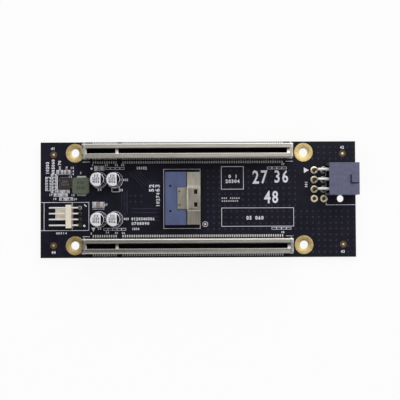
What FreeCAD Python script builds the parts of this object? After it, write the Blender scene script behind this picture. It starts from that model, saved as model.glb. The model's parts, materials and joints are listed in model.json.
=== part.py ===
import FreeCAD, Part
import math
import os
from types import SimpleNamespace

import Sketcher

# Driving sizes in millimetres. Places are measured from the middle of the four mounting holes,
# apart from the pieces at the board's ends, which are measured from the end that they sit at.
SIZES = {
    # Board and its mounting holes
    "board_length": 138.4,
    "board_width": 50.8,
    "board_thick": 1.6,
    "board_offset_x": 3.8,
    "board_offset_y": -0.3,
    "mount_span_x": 100.4,
    "mount_span_y": 40.64,
    "mount_bore": 3.8,
    # Fits shared by all pieces
    "tail_below": 1.2,
    "leg_clear": 0.15,
    "seat_clear": 0.05,
    # Card slots
    "slot_x": -0.7,
    "slot_spacing": 40.64,
    "slot_height": 11.25,
    "shield_width": 6.4,
    "shield_lift": 1.0,
    "sheet_thick": 0.3,
    "bend_radius": 0.55,
    "mouth_width": 2.2,
    "mouth_past_first": 1.4,
    "mouth_past_last": 1.0,
    "near_end_wall": 2.15,
    "far_end_wall": 2.55,
    "key_width": 1.3,
    "ear_out": 0.4,
    "ear_length": 0.7,
    "ear_height": 1.2,
    "shield_leg_width": 1.0,
    "shield_leg_spread": 4.4,
    "shield_leg_below": 0.8,
    "card_gap": 2.0,
    "channel_width": 4.0,
    "lip_height": 1.6,
    "rib_width": 2.5,
    "rib_height": 1.2,
    "foot_room": 0.4,
    # Slot contacts
    "contact_pitch": 1.0,
    "contact_key_gap": 3.0,
    "contacts_before_key": 11,
    "contacts_after_key": 71,
    "contact_width": 0.5,
    "contact_thick": 0.3,
    "contact_toe": 4.7,
    "contact_elbow": 1.5,
    "contact_tip": 0.85,
    "contact_rise": 8.3,
    # Cable receptacle
    "cable_rear_x": -10.7,
    "cable_y": 0.1,
    "cable_height": 6.0,
    "block_length": 9.4,
    "block_past_shell": 0.1,
    "block_bevel": 0.5,
    "shell_seam": 0.25,
    "shell_length": 5.9,
    "shell_width": 22.8,
    "shell_step": 0.35,
    "shell_slope": 0.75,
    "plateau_width": 9.9,
    "shell_tab_length": 4.2,
    "window_length": 1.35,
    "window_width": 1.95,
    "window_spread": 5.5,
    "window_from_seam": 3.1,
    "shell_leg_width": 1.0,
    "shell_leg_spread": 3.6,
    "shell_leg_from_seam": 1.1,
    "tongue_side_gap": 1.1,
    "tongue_thick": 1.2,
    "tongue_length": 5.0,
    "tongue_height": 3.0,
    "blade_edge": 0.25,
    "blade_count": 37,
    "blade_width": 0.3,
    "blade_thick": 0.15,
    "blade_length": 4.6,
    # Power header
    "power_from_right": 0.05,
    "power_y": 8.25,
    "power_pitch": 4.2,
    "power_width": 13.8,
    "power_height": 9.6,
    "power_depth": 12.9,
    "power_low_row": 2.7,
    "cell_side": 3.5,
    "cell_depth": 10.0,
    "cell_cut": 0.9,
    "power_pin": 1.0,
    "power_pin_in_cell": 8.2,
    "power_hole": 1.8,
    "power_hole_from_rear": 1.0,
    "recess_depth": 1.5,
    "recess_rim": 0.8,
    "peg_hole": 3.0,
    "peg_from_rear": 6.25,
    "ramp_length": 3.2,
    "ramp_width": 3.3,
    "ramp_height": 1.2,
    "ramp_from_rear": 9.45,
    # Fan header
    "fan_from_left": 11.95,
    "fan_y": -7.53,
    "fan_pitch": 2.54,
    "wafer_thick": 2.45,
    "wafer_width": 10.15,
    "wafer_height": 6.0,
    "fan_pin": 0.64,
    "fan_pin_height": 3.6,
    "fan_pin_reach": 7.63,
    "fan_hole": 1.0,
    "fan_hole_from_wafer": 2.85,
    "lock_length": 5.17,
    "lock_width": 4.55,
    "lock_offset": 1.2,
    "lock_low": 0.9,
    "lock_thick": 1.1,
    "lock_nub": 0.6,
    # Electrolytic capacitors
    "can_diameter": 6.3,
    "can_top": 7.7,
    "can_foot": 0.35,
    "seal_diameter": 5.2,
    "lead_pitch": 2.5,
    "lead_wire": 0.5,
    "can_near_from_left": 25.7,
    "can_far_from_left": 32.63,
    "can_row_up": 8.42,
    "can_row_down": -8.87,
    # Choke
    "choke_from_left": 18.0,
    "choke_y": 5.88,
    "choke_length": 7.4,
    "choke_width": 7.2,
    "choke_top": 3.0,
    "choke_cut": 0.7,
    "choke_tab_width": 4.0,
    "choke_tab_out": 0.8,
    "choke_tab_under": 1.2,
    "choke_tab_thick": 0.2,
    # Regulator chip
    "chip_from_left": 10.85,
    "chip_y": 7.1,
    "chip_side": 5.0,
    "chip_height": 0.9,
    # Large ceramic capacitors
    "ceramic_1_from_left": 25.8,
    "ceramic_1_y": 13.6,
    "ceramic_1_length": 3.5,
    "ceramic_1_width": 1.7,
    "ceramic_2_from_left": 25.4,
    "ceramic_2_y": -2.45,
    "ceramic_2_length": 4.4,
    "ceramic_2_width": 2.1,
    "ceramic_height": 1.5,
    # Small chip parts round the regulator
    "small_length": 2.1,
    "small_width": 0.85,
    "small_height": 0.5,
    "stack_1_from_left": 3.6,
    "stack_1_y": 9.2,
    "stack_1_step": 1.19,
    "stack_1_count": 5,
    "stack_2_from_left": 6.05,
    "stack_2_y": 10.5,
    "stack_2_step": 1.41,
    "stack_2_count": 6,
    "pair_step": 3.1,
    "pair_1_from_left": 8.2,
    "pair_1_y": 3.5,
    "pair_2_from_left": 7.3,
    "pair_2_y": 1.95,
    "pair_3_from_left": 9.7,
    "pair_3_y": 0.2,
    "filter_from_left": 8.7,
    "filter_y": 11.9,
    "filter_length": 2.6,
    "filter_width": 1.5,
    "filter_height": 1.0,
}

doc = FreeCAD.newDocument("splitter_card")
sheet = doc.addObject("Spreadsheet::Sheet", "Dims")


class Size:
    """A length that keeps its number together with the sheet formula it comes from."""

    def __init__(self, text, value):
        self.text = text
        self.value = value

    def joined(self, sign, other, value):
        other_text = other.text if isinstance(other, Size) else repr(other)
        return Size("(%s %s %s)" % (self.text, sign, other_text), value)

    def __add__(self, other):
        return self.joined("+", other, self.value + number(other))

    def __sub__(self, other):
        return self.joined("-", other, self.value - number(other))

    def __mul__(self, other):
        return self.joined("*", other, self.value * number(other))

    def __truediv__(self, other):
        return self.joined("/", other, self.value / number(other))

    def __neg__(self):
        return Size("(0 - %s)" % self.text, -self.value)


def number(length):
    return length.value if isinstance(length, Size) else float(length)


def fill_sheet():
    """Write each size to its own named cell and hand the sizes back by name."""
    sizes = SimpleNamespace()
    for row, (name, value) in enumerate(SIZES.items(), start=1):
        sheet.set("A%d" % row, name)
        sheet.set("B%d" % row, str(value))
        sheet.setAlias("B%d" % row, name)
        setattr(sizes, name, Size("Dims." + name, float(value)))
    doc.recompute()
    return sizes


d = fill_sheet()


def bind(made, prop, length):
    made.setExpression(prop, length.text if isinstance(length, Size) else repr(float(length)))


def place(made, x=0, y=0, z=0):
    bind(made, "Placement.Base.x", x)
    bind(made, "Placement.Base.y", y)
    bind(made, "Placement.Base.z", z)


def new_body(label):
    body = doc.addObject("PartDesign::Body", label)
    body.Label = label
    return body


def origin_part(body, role):
    return [part for part in body.Origin.OriginFeatures if part.Role == role][0]


def new_sketch(body, name, plane, rise=0):
    """An empty sketch on one of the body's origin planes, lifted along its normal by rise."""
    drawn = body.newObject("Sketcher::SketchObject", name)
    drawn.AttachmentSupport = [(origin_part(body, plane), "")]
    drawn.MapMode = "FlatFace"
    bind(drawn, "AttachmentOffset.Base.z", rise)
    return drawn


def hold_point(drawn, index, point, across, up):
    """Tie one point of a sketch to the sketch origin by two formulas."""
    for kind, length in (("DistanceX", across), ("DistanceY", up)):
        held = Sketcher.Constraint(kind, -1, 1, index, point, number(length))
        bind(drawn, "Constraints[%d]" % drawn.addConstraint(held), length)


def add_loop(drawn, corners):
    """A closed straight-sided loop with each corner tied to the sizes."""
    first = drawn.GeometryCount
    count = len(corners)
    points = [FreeCAD.Vector(number(across), number(up), 0) for across, up in corners]
    lines = [Part.LineSegment(points[i], points[(i + 1) % count]) for i in range(count)]
    drawn.addGeometry(lines, False)
    joins = [
        Sketcher.Constraint("Coincident", first + i, 2, first + (i + 1) % count, 1)
        for i in range(count)
    ]
    drawn.addConstraint(joins)
    for i, (across, up) in enumerate(corners):
        hold_point(drawn, first + i, 1, across, up)


def add_rectangle(drawn, left, low, right, high):
    add_loop(drawn, [(left, low), (right, low), (right, high), (left, high)])


def add_circle(drawn, across, up, diameter):
    centre = FreeCAD.Vector(number(across), number(up), 0)
    circle = Part.Circle(centre, FreeCAD.Vector(0, 0, 1), number(diameter) / 2)
    index = drawn.addGeometry(circle, False)
    wide = drawn.addConstraint(Sketcher.Constraint("Diameter", index, number(diameter)))
    bind(drawn, "Constraints[%d]" % wide, diameter)
    hold_point(drawn, index, 3, across, up)


def pad(body, drawn, length, backward=False):
    made = body.newObject("PartDesign::Pad", drawn.Name + "_pad")
    made.Profile = drawn
    made.Reversed = backward
    bind(made, "Length", length)
    return made


def pocket(body, drawn, length, forward=False):
    """Cut against the sketch's normal, or along it when forward is set."""
    made = body.newObject("PartDesign::Pocket", drawn.Name + "_cut")
    made.Profile = drawn
    made.Reversed = forward
    bind(made, "Length", length)
    return made


def box(name, x, y, z, length, width, height):
    made = doc.addObject("Part::Box", name)
    place(made, x, y, z)
    bind(made, "Length", length)
    bind(made, "Width", width)
    bind(made, "Height", height)
    return made


def group(label, members):
    made = doc.addObject("Part::Compound", label)
    made.Label = label
    made.Links = members
    return made


def sides(spread):
    """The two places either side of a middle line that are the given spread apart."""
    return [-spread / 2, spread / 2]


# The board's two ends, and what is placed from them
board_left = d.board_offset_x - d.board_length / 2
board_right = board_left + d.board_length
power_rear = board_right - d.power_from_right - d.power_depth
fan_x = board_left + d.fan_from_left
choke_x = board_left + d.choke_from_left
chip_x = board_left + d.chip_from_left

# A slot is laid out from its row of contacts: key, mouth, end walls and so the shield's two ends
slot_lines = [d.slot_spacing / 2, -d.slot_spacing / 2]
contact_span = d.contact_pitch * (d.contacts_before_key + d.contacts_after_key - 2) + d.contact_key_gap
key_x = -contact_span / 2 + d.contact_pitch * (d.contacts_before_key - 1) + d.contact_key_gap / 2
mouth_left = -contact_span / 2 - d.mouth_past_first
mouth_right = contact_span / 2 + d.mouth_past_last
shield_left = mouth_left - d.near_end_wall
shield_right = mouth_right + d.far_end_wall

# Where the pins and legs meet the board is worked out once and used by both
shield_leg_x = [shield_left + d.sheet_thick / 2, shield_right - d.sheet_thick / 2]
shield_leg_y = sides(d.shield_leg_spread)
shell_x = d.cable_rear_x + d.block_length + d.shell_seam
shell_leg_x = [
    shell_x + d.shell_leg_from_seam,
    shell_x + d.shell_leg_from_seam + d.shell_leg_spread,
]
shell_leg_y = sides(d.shell_width - d.sheet_thick)
power_columns = [
    power_rear - d.power_hole_from_rear,
    power_rear - d.power_hole_from_rear - d.power_pitch,
]
power_lines = [d.power_y + d.power_pitch * step for step in (1, 0, -1, -2)]
peg_x = power_rear + d.peg_from_rear
fan_lines = [d.fan_y + d.fan_pitch * step for step in (1.5, 0.5, -0.5, -1.5)]
fan_hole_x = fan_x + d.wafer_thick + d.fan_hole_from_wafer
can_columns = [board_left + d.can_near_from_left, board_left + d.can_far_from_left]
can_rows = [d.can_row_up, d.can_row_down]
tail_end = d.board_thick + d.tail_below


def make_board():
    """Laminate with its round holes, the slots for legs and the small holes for wire leads."""
    body = new_body("board")
    outline = new_sketch(body, "board_outline", "XY_Plane")
    low = d.board_offset_y - d.board_width / 2
    add_rectangle(outline, board_left, low, board_right, low + d.board_width)
    pad(body, outline, d.board_thick)
    drilled = new_sketch(body, "drilled_holes", "XY_Plane", d.board_thick)
    for x in sides(d.mount_span_x):
        for y in sides(d.mount_span_y):
            add_circle(drilled, x, y, d.mount_bore)
    for x in power_columns:
        for y in power_lines:
            add_circle(drilled, x, y, d.power_hole)
    for y in (power_lines[0], power_lines[3]):
        add_circle(drilled, peg_x, y, d.peg_hole)
    for y in fan_lines:
        add_circle(drilled, fan_hole_x, y, d.fan_hole)
    pocket(body, drilled, d.board_thick)
    routed = new_sketch(body, "leg_slots", "XY_Plane", d.board_thick)
    across = d.sheet_thick / 2 + d.leg_clear
    for line in slot_lines:
        for x in shield_leg_x:
            for y in shield_leg_y:
                along = d.shield_leg_width / 2 + d.leg_clear
                mid_x = d.slot_x + x
                mid_y = line + y
                add_rectangle(routed, mid_x - across, mid_y - along, mid_x + across, mid_y + along)
    for mid_x in shell_leg_x:
        for y in shell_leg_y:
            along = d.shell_leg_width / 2 + d.leg_clear
            mid_y = d.cable_y + y
            add_rectangle(routed, mid_x - along, mid_y - across, mid_x + along, mid_y + across)
    pocket(body, routed, d.board_thick)
    pierced = new_sketch(body, "lead_holes", "XY_Plane", d.board_thick)
    reach = d.lead_wire / 2 + d.leg_clear
    for x in can_columns:
        for y in can_rows:
            for step in sides(d.lead_pitch):
                mid_x = x + step
                add_rectangle(pierced, mid_x - reach, y - reach, mid_x + reach, y + reach)
    pocket(body, pierced, d.board_thick)
    return body


# Slot pieces are drawn about the slot's own line, with the board's top face as floor
housing_top = d.slot_height - d.sheet_thick - d.seat_clear
housing_half = d.shield_width / 2 - d.sheet_thick - d.seat_clear


def make_slot_housing(label, line):
    """Moulded body: walls with lips over the contacts, a rib between the rows, a key web."""
    body = new_body(label)
    block = new_sketch(body, label + "_block", "XY_Plane")
    inset = d.sheet_thick + d.seat_clear
    add_rectangle(block, shield_left + inset, -housing_half, shield_right - inset, housing_half)
    pad(body, block, housing_top)
    wall = d.channel_width / 2
    lip = d.card_gap / 2
    rib = d.rib_width / 2
    past = housing_half + d.sheet_thick
    above = housing_top + d.sheet_thick
    under_lip = housing_top - d.lip_height
    right_side = [
        (rib, d.rib_height),
        (rib, -d.foot_room),
        (past, -d.foot_room),
        (past, d.foot_room),
        (wall, d.foot_room),
        (wall, under_lip),
        (lip, under_lip),
        (lip, above),
    ]
    left_side = [(-across, up) for across, up in reversed(right_side)]
    key_edges = (key_x - d.key_width / 2, key_x + d.key_width / 2)
    for name, start, end in (("short", mouth_left, key_edges[0]), ("long", key_edges[1], mouth_right)):
        room = new_sketch(body, "%s_%s_room" % (label, name), "YZ_Plane", start)
        add_loop(room, right_side + left_side)
        pocket(body, room, end - start, forward=True)
    place(body, d.slot_x, line, d.board_thick)
    return body


def make_slot_shield(label, line):
    """Steel armour folded over the housing, with end ears and four solder legs."""
    body = new_body(label)
    half_y = d.shield_width / 2
    outer = new_sketch(body, label + "_outer", "XY_Plane", d.shield_lift)
    add_rectangle(outer, shield_left, -half_y, shield_right, half_y)
    shell = pad(body, outer, d.slot_height - d.shield_lift)
    doc.recompute()
    bends = body.newObject("PartDesign::Fillet", label + "_bends")
    bends.Base = (shell, long_top_edges(shell.Shape, d.slot_height.value))
    bind(bends, "Radius", d.bend_radius)
    inner = new_sketch(body, label + "_inner", "XY_Plane", d.shield_lift)
    gap_y = half_y - d.sheet_thick
    add_rectangle(inner, shield_left + d.sheet_thick, -gap_y, shield_right - d.sheet_thick, gap_y)
    pocket(body, inner, d.slot_height - d.shield_lift - d.sheet_thick, forward=True)
    mouth = new_sketch(body, label + "_mouth", "XY_Plane", d.slot_height)
    edge = d.mouth_width / 2
    add_rectangle(mouth, mouth_left, -edge, key_x - d.key_width / 2, edge)
    add_rectangle(mouth, key_x + d.key_width / 2, -edge, mouth_right, edge)
    pocket(body, mouth, d.sheet_thick * 2)
    ears = new_sketch(body, label + "_ears", "XY_Plane", d.slot_height - d.bend_radius - d.ear_height)
    for x in (shield_left + d.bend_radius, shield_right - d.bend_radius - d.ear_length):
        for low, high in ((-half_y - d.ear_out, -gap_y), (gap_y, half_y + d.ear_out)):
            add_rectangle(ears, x, low, x + d.ear_length, high)
    pad(body, ears, d.ear_height)
    for side, start in (("left", shield_left), ("right", shield_right - d.sheet_thick)):
        legs = new_sketch(body, "%s_%s_legs" % (label, side), "YZ_Plane", start)
        for y in shield_leg_y:
            leg = d.shield_leg_width / 2
            low = -d.board_thick - d.shield_leg_below
            add_rectangle(legs, y - leg, low, y + leg, d.shield_lift + d.sheet_thick)
        pad(body, legs, d.sheet_thick)
    place(body, d.slot_x, line, d.board_thick)
    return body


def long_top_edges(shape, height):
    """Names of the edges along the slot that lie flat at the given height."""
    names = []
    for index, edge in enumerate(shape.Edges, start=1):
        flat = all(abs(vertex.Z - height) < 1e-6 for vertex in edge.Vertexes)
        if flat and edge.BoundBox.XLength > edge.BoundBox.YLength:
            names.append("Edge%d" % index)
    return names


def make_slot_contacts(label, line, side):
    """One row of spring contacts; each foot lies on the board with its beam in the channel."""
    profile = [
        (d.contact_toe.value, 0),
        (d.contact_elbow.value, 0),
        (d.contact_tip.value, d.contact_rise.value),
        (d.contact_elbow.value + d.contact_thick.value, d.contact_thick.value),
    ]
    corners = [FreeCAD.Vector(0, side * across, up) for across, up in profile]
    face = Part.Face(Part.makePolygon(corners + corners[:1]))
    contact = face.extrude(FreeCAD.Vector(d.contact_width.value, 0, 0))
    start = -contact_span.value / 2 - d.contact_width.value / 2
    row = []
    for index in range(int(d.contacts_before_key.value + d.contacts_after_key.value)):
        x = start + index * d.contact_pitch.value
        if index >= d.contacts_before_key.value:
            x += d.contact_key_gap.value - d.contact_pitch.value
        row.append(contact.translated(FreeCAD.Vector(x, 0, 0)))
    made = doc.addObject("Part::Feature", label)
    made.Label = label
    made.Shape = Part.makeCompound(row)
    place(made, d.slot_x, line, d.board_thick)
    return made


# The receptacle's block, tongue and blades take their widths from the shell round them
block_width = d.shell_width + d.block_past_shell * 2
tongue_width = d.shell_width - d.tongue_side_gap * 2
blade_pitch = (tongue_width - d.blade_edge * 2 - d.blade_width) / (d.blade_count - 1)


def make_cable_block():
    """Moulded block of the cable receptacle with the tongue that carries its contacts."""
    body = new_body("cable_block")
    side = new_sketch(body, "cable_block_side", "XZ_Plane", -block_width / 2)
    front = d.block_length
    outline = [
        (d.block_length * 0, d.block_length * 0),
        (front, d.block_length * 0),
        (front, d.cable_height),
        (d.block_bevel, d.cable_height),
        (d.block_length * 0, d.cable_height - d.block_bevel),
    ]
    add_loop(side, outline)
    pad(body, side, block_width)
    tongue = new_sketch(body, "cable_tongue", "YZ_Plane", front)
    half = tongue_width / 2
    low = d.tongue_height - d.tongue_thick / 2
    add_rectangle(tongue, -half, low, half, low + d.tongue_thick)
    pad(body, tongue, d.tongue_length)
    place(body, d.cable_rear_x, d.cable_y, d.board_thick)
    return body


def make_cable_shell():
    """Pressed shell: a flat tube with a raised middle, a rear tab, two windows and four legs."""
    body = new_body("cable_shell")
    tube = new_sketch(body, "cable_shell_tube", "YZ_Plane")
    half = d.shell_width / 2
    rise = d.plateau_width / 2
    top = d.cable_height + d.shell_step
    zero = d.shell_step * 0
    right_side = [(half, zero), (half, d.cable_height), (rise + d.shell_slope, d.cable_height), (rise, top)]
    add_loop(tube, right_side + [(-across, up) for across, up in reversed(right_side)])
    wall = d.sheet_thick
    inner_side = [
        (half - wall, wall),
        (half - wall, d.cable_height - wall),
        (rise + d.shell_slope - wall, d.cable_height - wall),
        (rise - wall, top - wall),
    ]
    add_loop(tube, inner_side + [(-across, up) for across, up in reversed(inner_side)])
    pad(body, tube, d.shell_length)
    tab = new_sketch(body, "cable_shell_tab", "XY_Plane", top - wall)
    add_rectangle(tab, -d.shell_tab_length, -rise + wall, wall, rise - wall)
    pad(body, tab, wall)
    windows = new_sketch(body, "cable_shell_windows", "XY_Plane", top)
    for y in sides(d.window_spread):
        near = d.window_from_seam
        low = y - d.window_width / 2
        add_rectangle(windows, near, low, near + d.window_length, low + d.window_width)
    pocket(body, windows, wall * 2)
    for name, start in (("low", half), ("high", -half + wall)):
        legs = new_sketch(body, "cable_shell_%s_legs" % name, "XZ_Plane", start - wall)
        for x in shell_leg_x:
            near = x - shell_x - d.shell_leg_width / 2
            add_rectangle(legs, near, -tail_end, near + d.shell_leg_width, wall)
        pad(body, legs, wall)
    place(body, shell_x, d.cable_y, d.board_thick)
    return body


def make_cable_contacts(label, height):
    """One row of flat blades lying on a face of the receptacle's tongue."""
    blade = Part.makeBox(d.blade_length.value, d.blade_width.value, d.blade_thick.value)
    count = int(d.blade_count.value)
    low = -(count - 1) * blade_pitch.value / 2 - d.blade_width.value / 2
    places = [FreeCAD.Vector(0, low + index * blade_pitch.value, 0) for index in range(count)]
    made = doc.addObject("Part::Feature", label)
    made.Label = label
    made.Shape = Part.makeCompound([blade.translated(at) for at in places])
    place(made, d.cable_rear_x + d.block_length, d.cable_y, d.board_thick + height)
    return made


power_rows = [d.power_low_row, d.power_low_row + d.power_pitch]


def make_power_housing():
    """Moulded header without pegs: six keyed cells, pin holes in a recessed rear wall, latch ramp."""
    body = new_body("power_housing")
    block = new_sketch(body, "power_block", "YZ_Plane")
    half = d.power_width / 2
    add_rectangle(block, -half, d.power_height * 0, half, d.power_height)
    pad(body, block, d.power_depth)
    cells = new_sketch(body, "power_cells", "YZ_Plane", d.power_depth)
    holes = new_sketch(body, "power_pin_holes", "YZ_Plane")
    reach = d.cell_side / 2
    bore = d.power_pin / 2 + d.seat_clear
    for row, up in enumerate(power_rows):
        for step in (-1, 0, 1):
            mid = d.power_pitch * step
            keyed = (row + step) % 2 == 0
            cut = d.cell_cut if keyed else d.cell_cut / 4
            corners = [
                (mid - reach, up - reach + cut),
                (mid - reach + cut, up - reach),
                (mid + reach - cut, up - reach),
                (mid + reach, up - reach + cut),
                (mid + reach, up + reach),
                (mid - reach, up + reach),
            ]
            add_loop(cells, corners)
            add_rectangle(holes, mid - bore, up - bore, mid + bore, up + bore)
    pocket(body, cells, d.cell_depth)
    pocket(body, holes, d.power_depth - d.cell_depth, forward=True)
    recess = new_sketch(body, "power_rear_recess", "YZ_Plane")
    side = half - d.recess_rim
    add_rectangle(recess, -side, d.power_height * 0, side, d.power_height - d.recess_rim)
    pocket(body, recess, d.recess_depth, forward=True)
    ramp = new_sketch(body, "power_ramp", "XZ_Plane", -d.ramp_width / 2)
    near = d.ramp_from_rear
    far = d.ramp_from_rear + d.ramp_length
    crest = d.power_height + d.ramp_height
    add_loop(ramp, [
        (near, d.power_height - d.seat_clear),
        (far, d.power_height - d.seat_clear),
        (near + d.ramp_length / 4, crest),
        (near, crest),
    ])
    pad(body, ramp, d.ramp_width)
    place(body, power_rear, d.power_y, d.board_thick)
    return body


def make_bent_pin(label, tip, bend, height, thick, line):
    """A square pin that leaves its housing level, bends down and passes through the board."""
    body = new_body(label)
    half = thick / 2
    cut = thick * 0.7
    inward = -1 if number(tip) < number(bend) else 1
    drawn = new_sketch(body, label + "_bend", "XZ_Plane", -half)
    add_loop(drawn, [
        (bend - half * inward, -tail_end),
        (bend + half * inward, -tail_end),
        (bend + half * inward, height - half),
        (tip, height - half),
        (tip, height + half),
        (bend - half * inward + cut * inward, height + half),
        (bend - half * inward, height + half - cut),
    ])
    pad(body, drawn, thick)
    place(body, 0, line, d.board_thick)
    return body


def make_power_pins():
    """Three long pins from the upper row to the far holes, three short ones to the near holes."""
    tip = power_rear + d.power_depth - d.cell_depth + d.power_pin_in_cell
    pins = []
    for row, name in enumerate(("lower", "upper")):
        for index in range(3):
            label = "power_pin_%s_%d" % (name, index + 1)
            line = power_lines[index]
            pins.append(make_bent_pin(label, tip, power_columns[row], power_rows[row], d.power_pin, line))
    return pins


def make_fan_wafer():
    """Moulded wafer of the fan header with its lock tab under the pins."""
    body = new_body("fan_wafer")
    plate = new_sketch(body, "fan_plate", "YZ_Plane")
    half = d.wafer_width / 2
    add_rectangle(plate, -half, d.wafer_height * 0, half, d.wafer_height)
    pad(body, plate, d.wafer_thick)
    holes = new_sketch(body, "fan_pin_holes", "YZ_Plane")
    bore = d.fan_pin / 2 + d.seat_clear
    for line in fan_lines:
        mid = line - d.fan_y
        up = d.fan_pin_height
        add_rectangle(holes, mid - bore, up - bore, mid + bore, up + bore)
    pocket(body, holes, d.wafer_thick, forward=True)
    lock = new_sketch(body, "fan_lock", "XZ_Plane", -d.lock_width / 2 - d.lock_offset)
    top = d.lock_low + d.lock_thick
    add_loop(lock, [
        (-d.lock_length, d.lock_low),
        (d.seat_clear, d.lock_low),
        (d.seat_clear, top),
        (-d.lock_length + d.lock_nub * 2, top),
        (-d.lock_length + d.lock_nub, top + d.lock_nub),
        (-d.lock_length, top),
    ])
    pad(body, lock, d.lock_width)
    place(body, fan_x, d.fan_y, d.board_thick)
    return body


def make_fan_pins():
    pins = []
    for index, line in enumerate(fan_lines):
        label = "fan_pin_%d" % (index + 1)
        tip = fan_x - d.fan_pin_reach
        pins.append(make_bent_pin(label, tip, fan_hole_x, d.fan_pin_height, d.fan_pin, line))
    return pins


def make_can(label, x, y):
    """Deep-drawn can, closed at the top and crimped over its seal at the foot."""
    body = new_body(label)
    radius = d.can_diameter / 2
    zero = radius * 0
    half_section = new_sketch(body, label + "_section", "XZ_Plane")
    add_loop(half_section, [
        (zero, d.can_foot),
        (radius, d.can_foot),
        (radius, d.can_top),
        (zero, d.can_top),
    ])
    turned = body.newObject("PartDesign::Revolution", label + "_turned")
    turned.Profile = half_section
    turned.ReferenceAxis = (origin_part(body, "Z_Axis"), [""])
    turned.Angle = 360
    place(body, x, y, d.board_thick)
    return body


def make_can_base(label, x, y):
    """Rubber seal that closes the can's mouth and stands it off the board, drawn with flats."""
    body = new_body(label)
    outline = new_sketch(body, label + "_outline", "XY_Plane")
    flats = 16
    turns = [math.tau * (step + 0.5) / flats for step in range(flats)]
    radius = d.seal_diameter / 2
    add_loop(outline, [(radius * math.cos(turn), radius * math.sin(turn)) for turn in turns])
    pad(body, outline, d.can_foot)
    place(body, x, y, d.board_thick)
    return body


def make_can_leads(label, x, y):
    """The two wire leads that pass from the seal through the board, drawn square."""
    leads = []
    half = d.lead_wire / 2
    for name, step in zip(("plus", "minus"), sides(d.lead_pitch)):
        lead = box(
            "%s_%s" % (label, name), x + step - half, y - half, -d.tail_below,
            d.lead_wire, d.lead_wire, tail_end,
        )
        leads.append(lead)
    return group(label, leads)


def make_capacitors():
    pieces = []
    for y in can_rows:
        for x in can_columns:
            label = "capacitor_%d" % (len(pieces) // 3 + 1)
            pieces.append(make_can(label + "_can", x, y))
            pieces.append(make_can_base(label + "_base", x, y))
            pieces.append(make_can_leads(label + "_leads", x, y))
    return pieces


def make_choke():
    """Moulded choke with cut corners, standing on two flat terminals."""
    body = new_body("choke_core")
    half_x = d.choke_length / 2
    half_y = d.choke_width / 2
    cut = d.choke_cut
    outline = new_sketch(body, "choke_outline", "XY_Plane", d.choke_tab_thick)
    add_loop(outline, [
        (half_x - cut, -half_y),
        (half_x, -half_y + cut),
        (half_x, half_y - cut),
        (half_x - cut, half_y),
        (-half_x + cut, half_y),
        (-half_x, half_y - cut),
        (-half_x, -half_y + cut),
        (-half_x + cut, -half_y),
    ])
    pad(body, outline, d.choke_top - d.choke_tab_thick)
    place(body, choke_x, d.choke_y, d.board_thick)
    long_side = d.choke_tab_out + d.choke_tab_under
    tabs = []
    for name, start in (("low", -half_y - d.choke_tab_out), ("high", half_y - d.choke_tab_under)):
        tab = box(
            "choke_tab_" + name, choke_x - d.choke_tab_width / 2, d.choke_y + start, d.board_thick,
            d.choke_tab_width, long_side, d.choke_tab_thick,
        )
        tabs.append(tab)
    return [body, group("choke_terminals", tabs)]


def make_chip():
    made = box(
        "regulator_chip", chip_x - d.chip_side / 2, d.chip_y - d.chip_side / 2, d.board_thick,
        d.chip_side, d.chip_side, d.chip_height,
    )
    made.Label = "regulator_chip"
    return made


def chip_part(label, x, y, length, width, height):
    """A two-ended chip part, one sintered block with its ends plated on."""
    made = box(label, x - length / 2, y - width / 2, d.board_thick, length, width, height)
    made.Label = label
    return made


def make_ceramics():
    sizes = (
        (board_left + d.ceramic_1_from_left, d.ceramic_1_y, d.ceramic_1_length, d.ceramic_1_width),
        (board_left + d.ceramic_2_from_left, d.ceramic_2_y, d.ceramic_2_length, d.ceramic_2_width),
    )
    pieces = []
    for index, (x, y, length, width) in enumerate(sizes, start=1):
        pieces.append(chip_part("ceramic_%d" % index, x, y, length, width, d.ceramic_height))
    return pieces


def make_small_parts():
    """Resistors in two stacks and a pair, capacitors in two pairs and two larger filters."""
    resistors = []
    for x, y, step, count in (
        (board_left + d.stack_1_from_left, d.stack_1_y, d.stack_1_step, d.stack_1_count),
        (board_left + d.stack_2_from_left, d.stack_2_y, d.stack_2_step, d.stack_2_count),
    ):
        resistors += [(x, y - step * index) for index in range(int(count.value))]
    resistors += [(board_left + d.pair_3_from_left + d.pair_step * index, d.pair_3_y) for index in range(2)]
    capacitors = []
    for from_left, y in ((d.pair_1_from_left, d.pair_1_y), (d.pair_2_from_left, d.pair_2_y)):
        capacitors += [(board_left + from_left + d.pair_step * index, y) for index in range(2)]
    filters = [(board_left + d.filter_from_left + d.pair_step * index, d.filter_y) for index in range(2)]
    small = (d.small_length, d.small_width, d.small_height)
    large = (d.filter_length, d.filter_width, d.filter_height)
    pieces = []
    for label, places, sizes in (
        ("resistor", resistors, small),
        ("small_ceramic", capacitors, small),
        ("filter_ceramic", filters, large),
    ):
        members = [
            chip_part("%s_%d" % (label, index), x, y, *sizes)
            for index, (x, y) in enumerate(places, start=1)
        ]
        pieces.append(group(label + "s", members))
    return pieces


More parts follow.
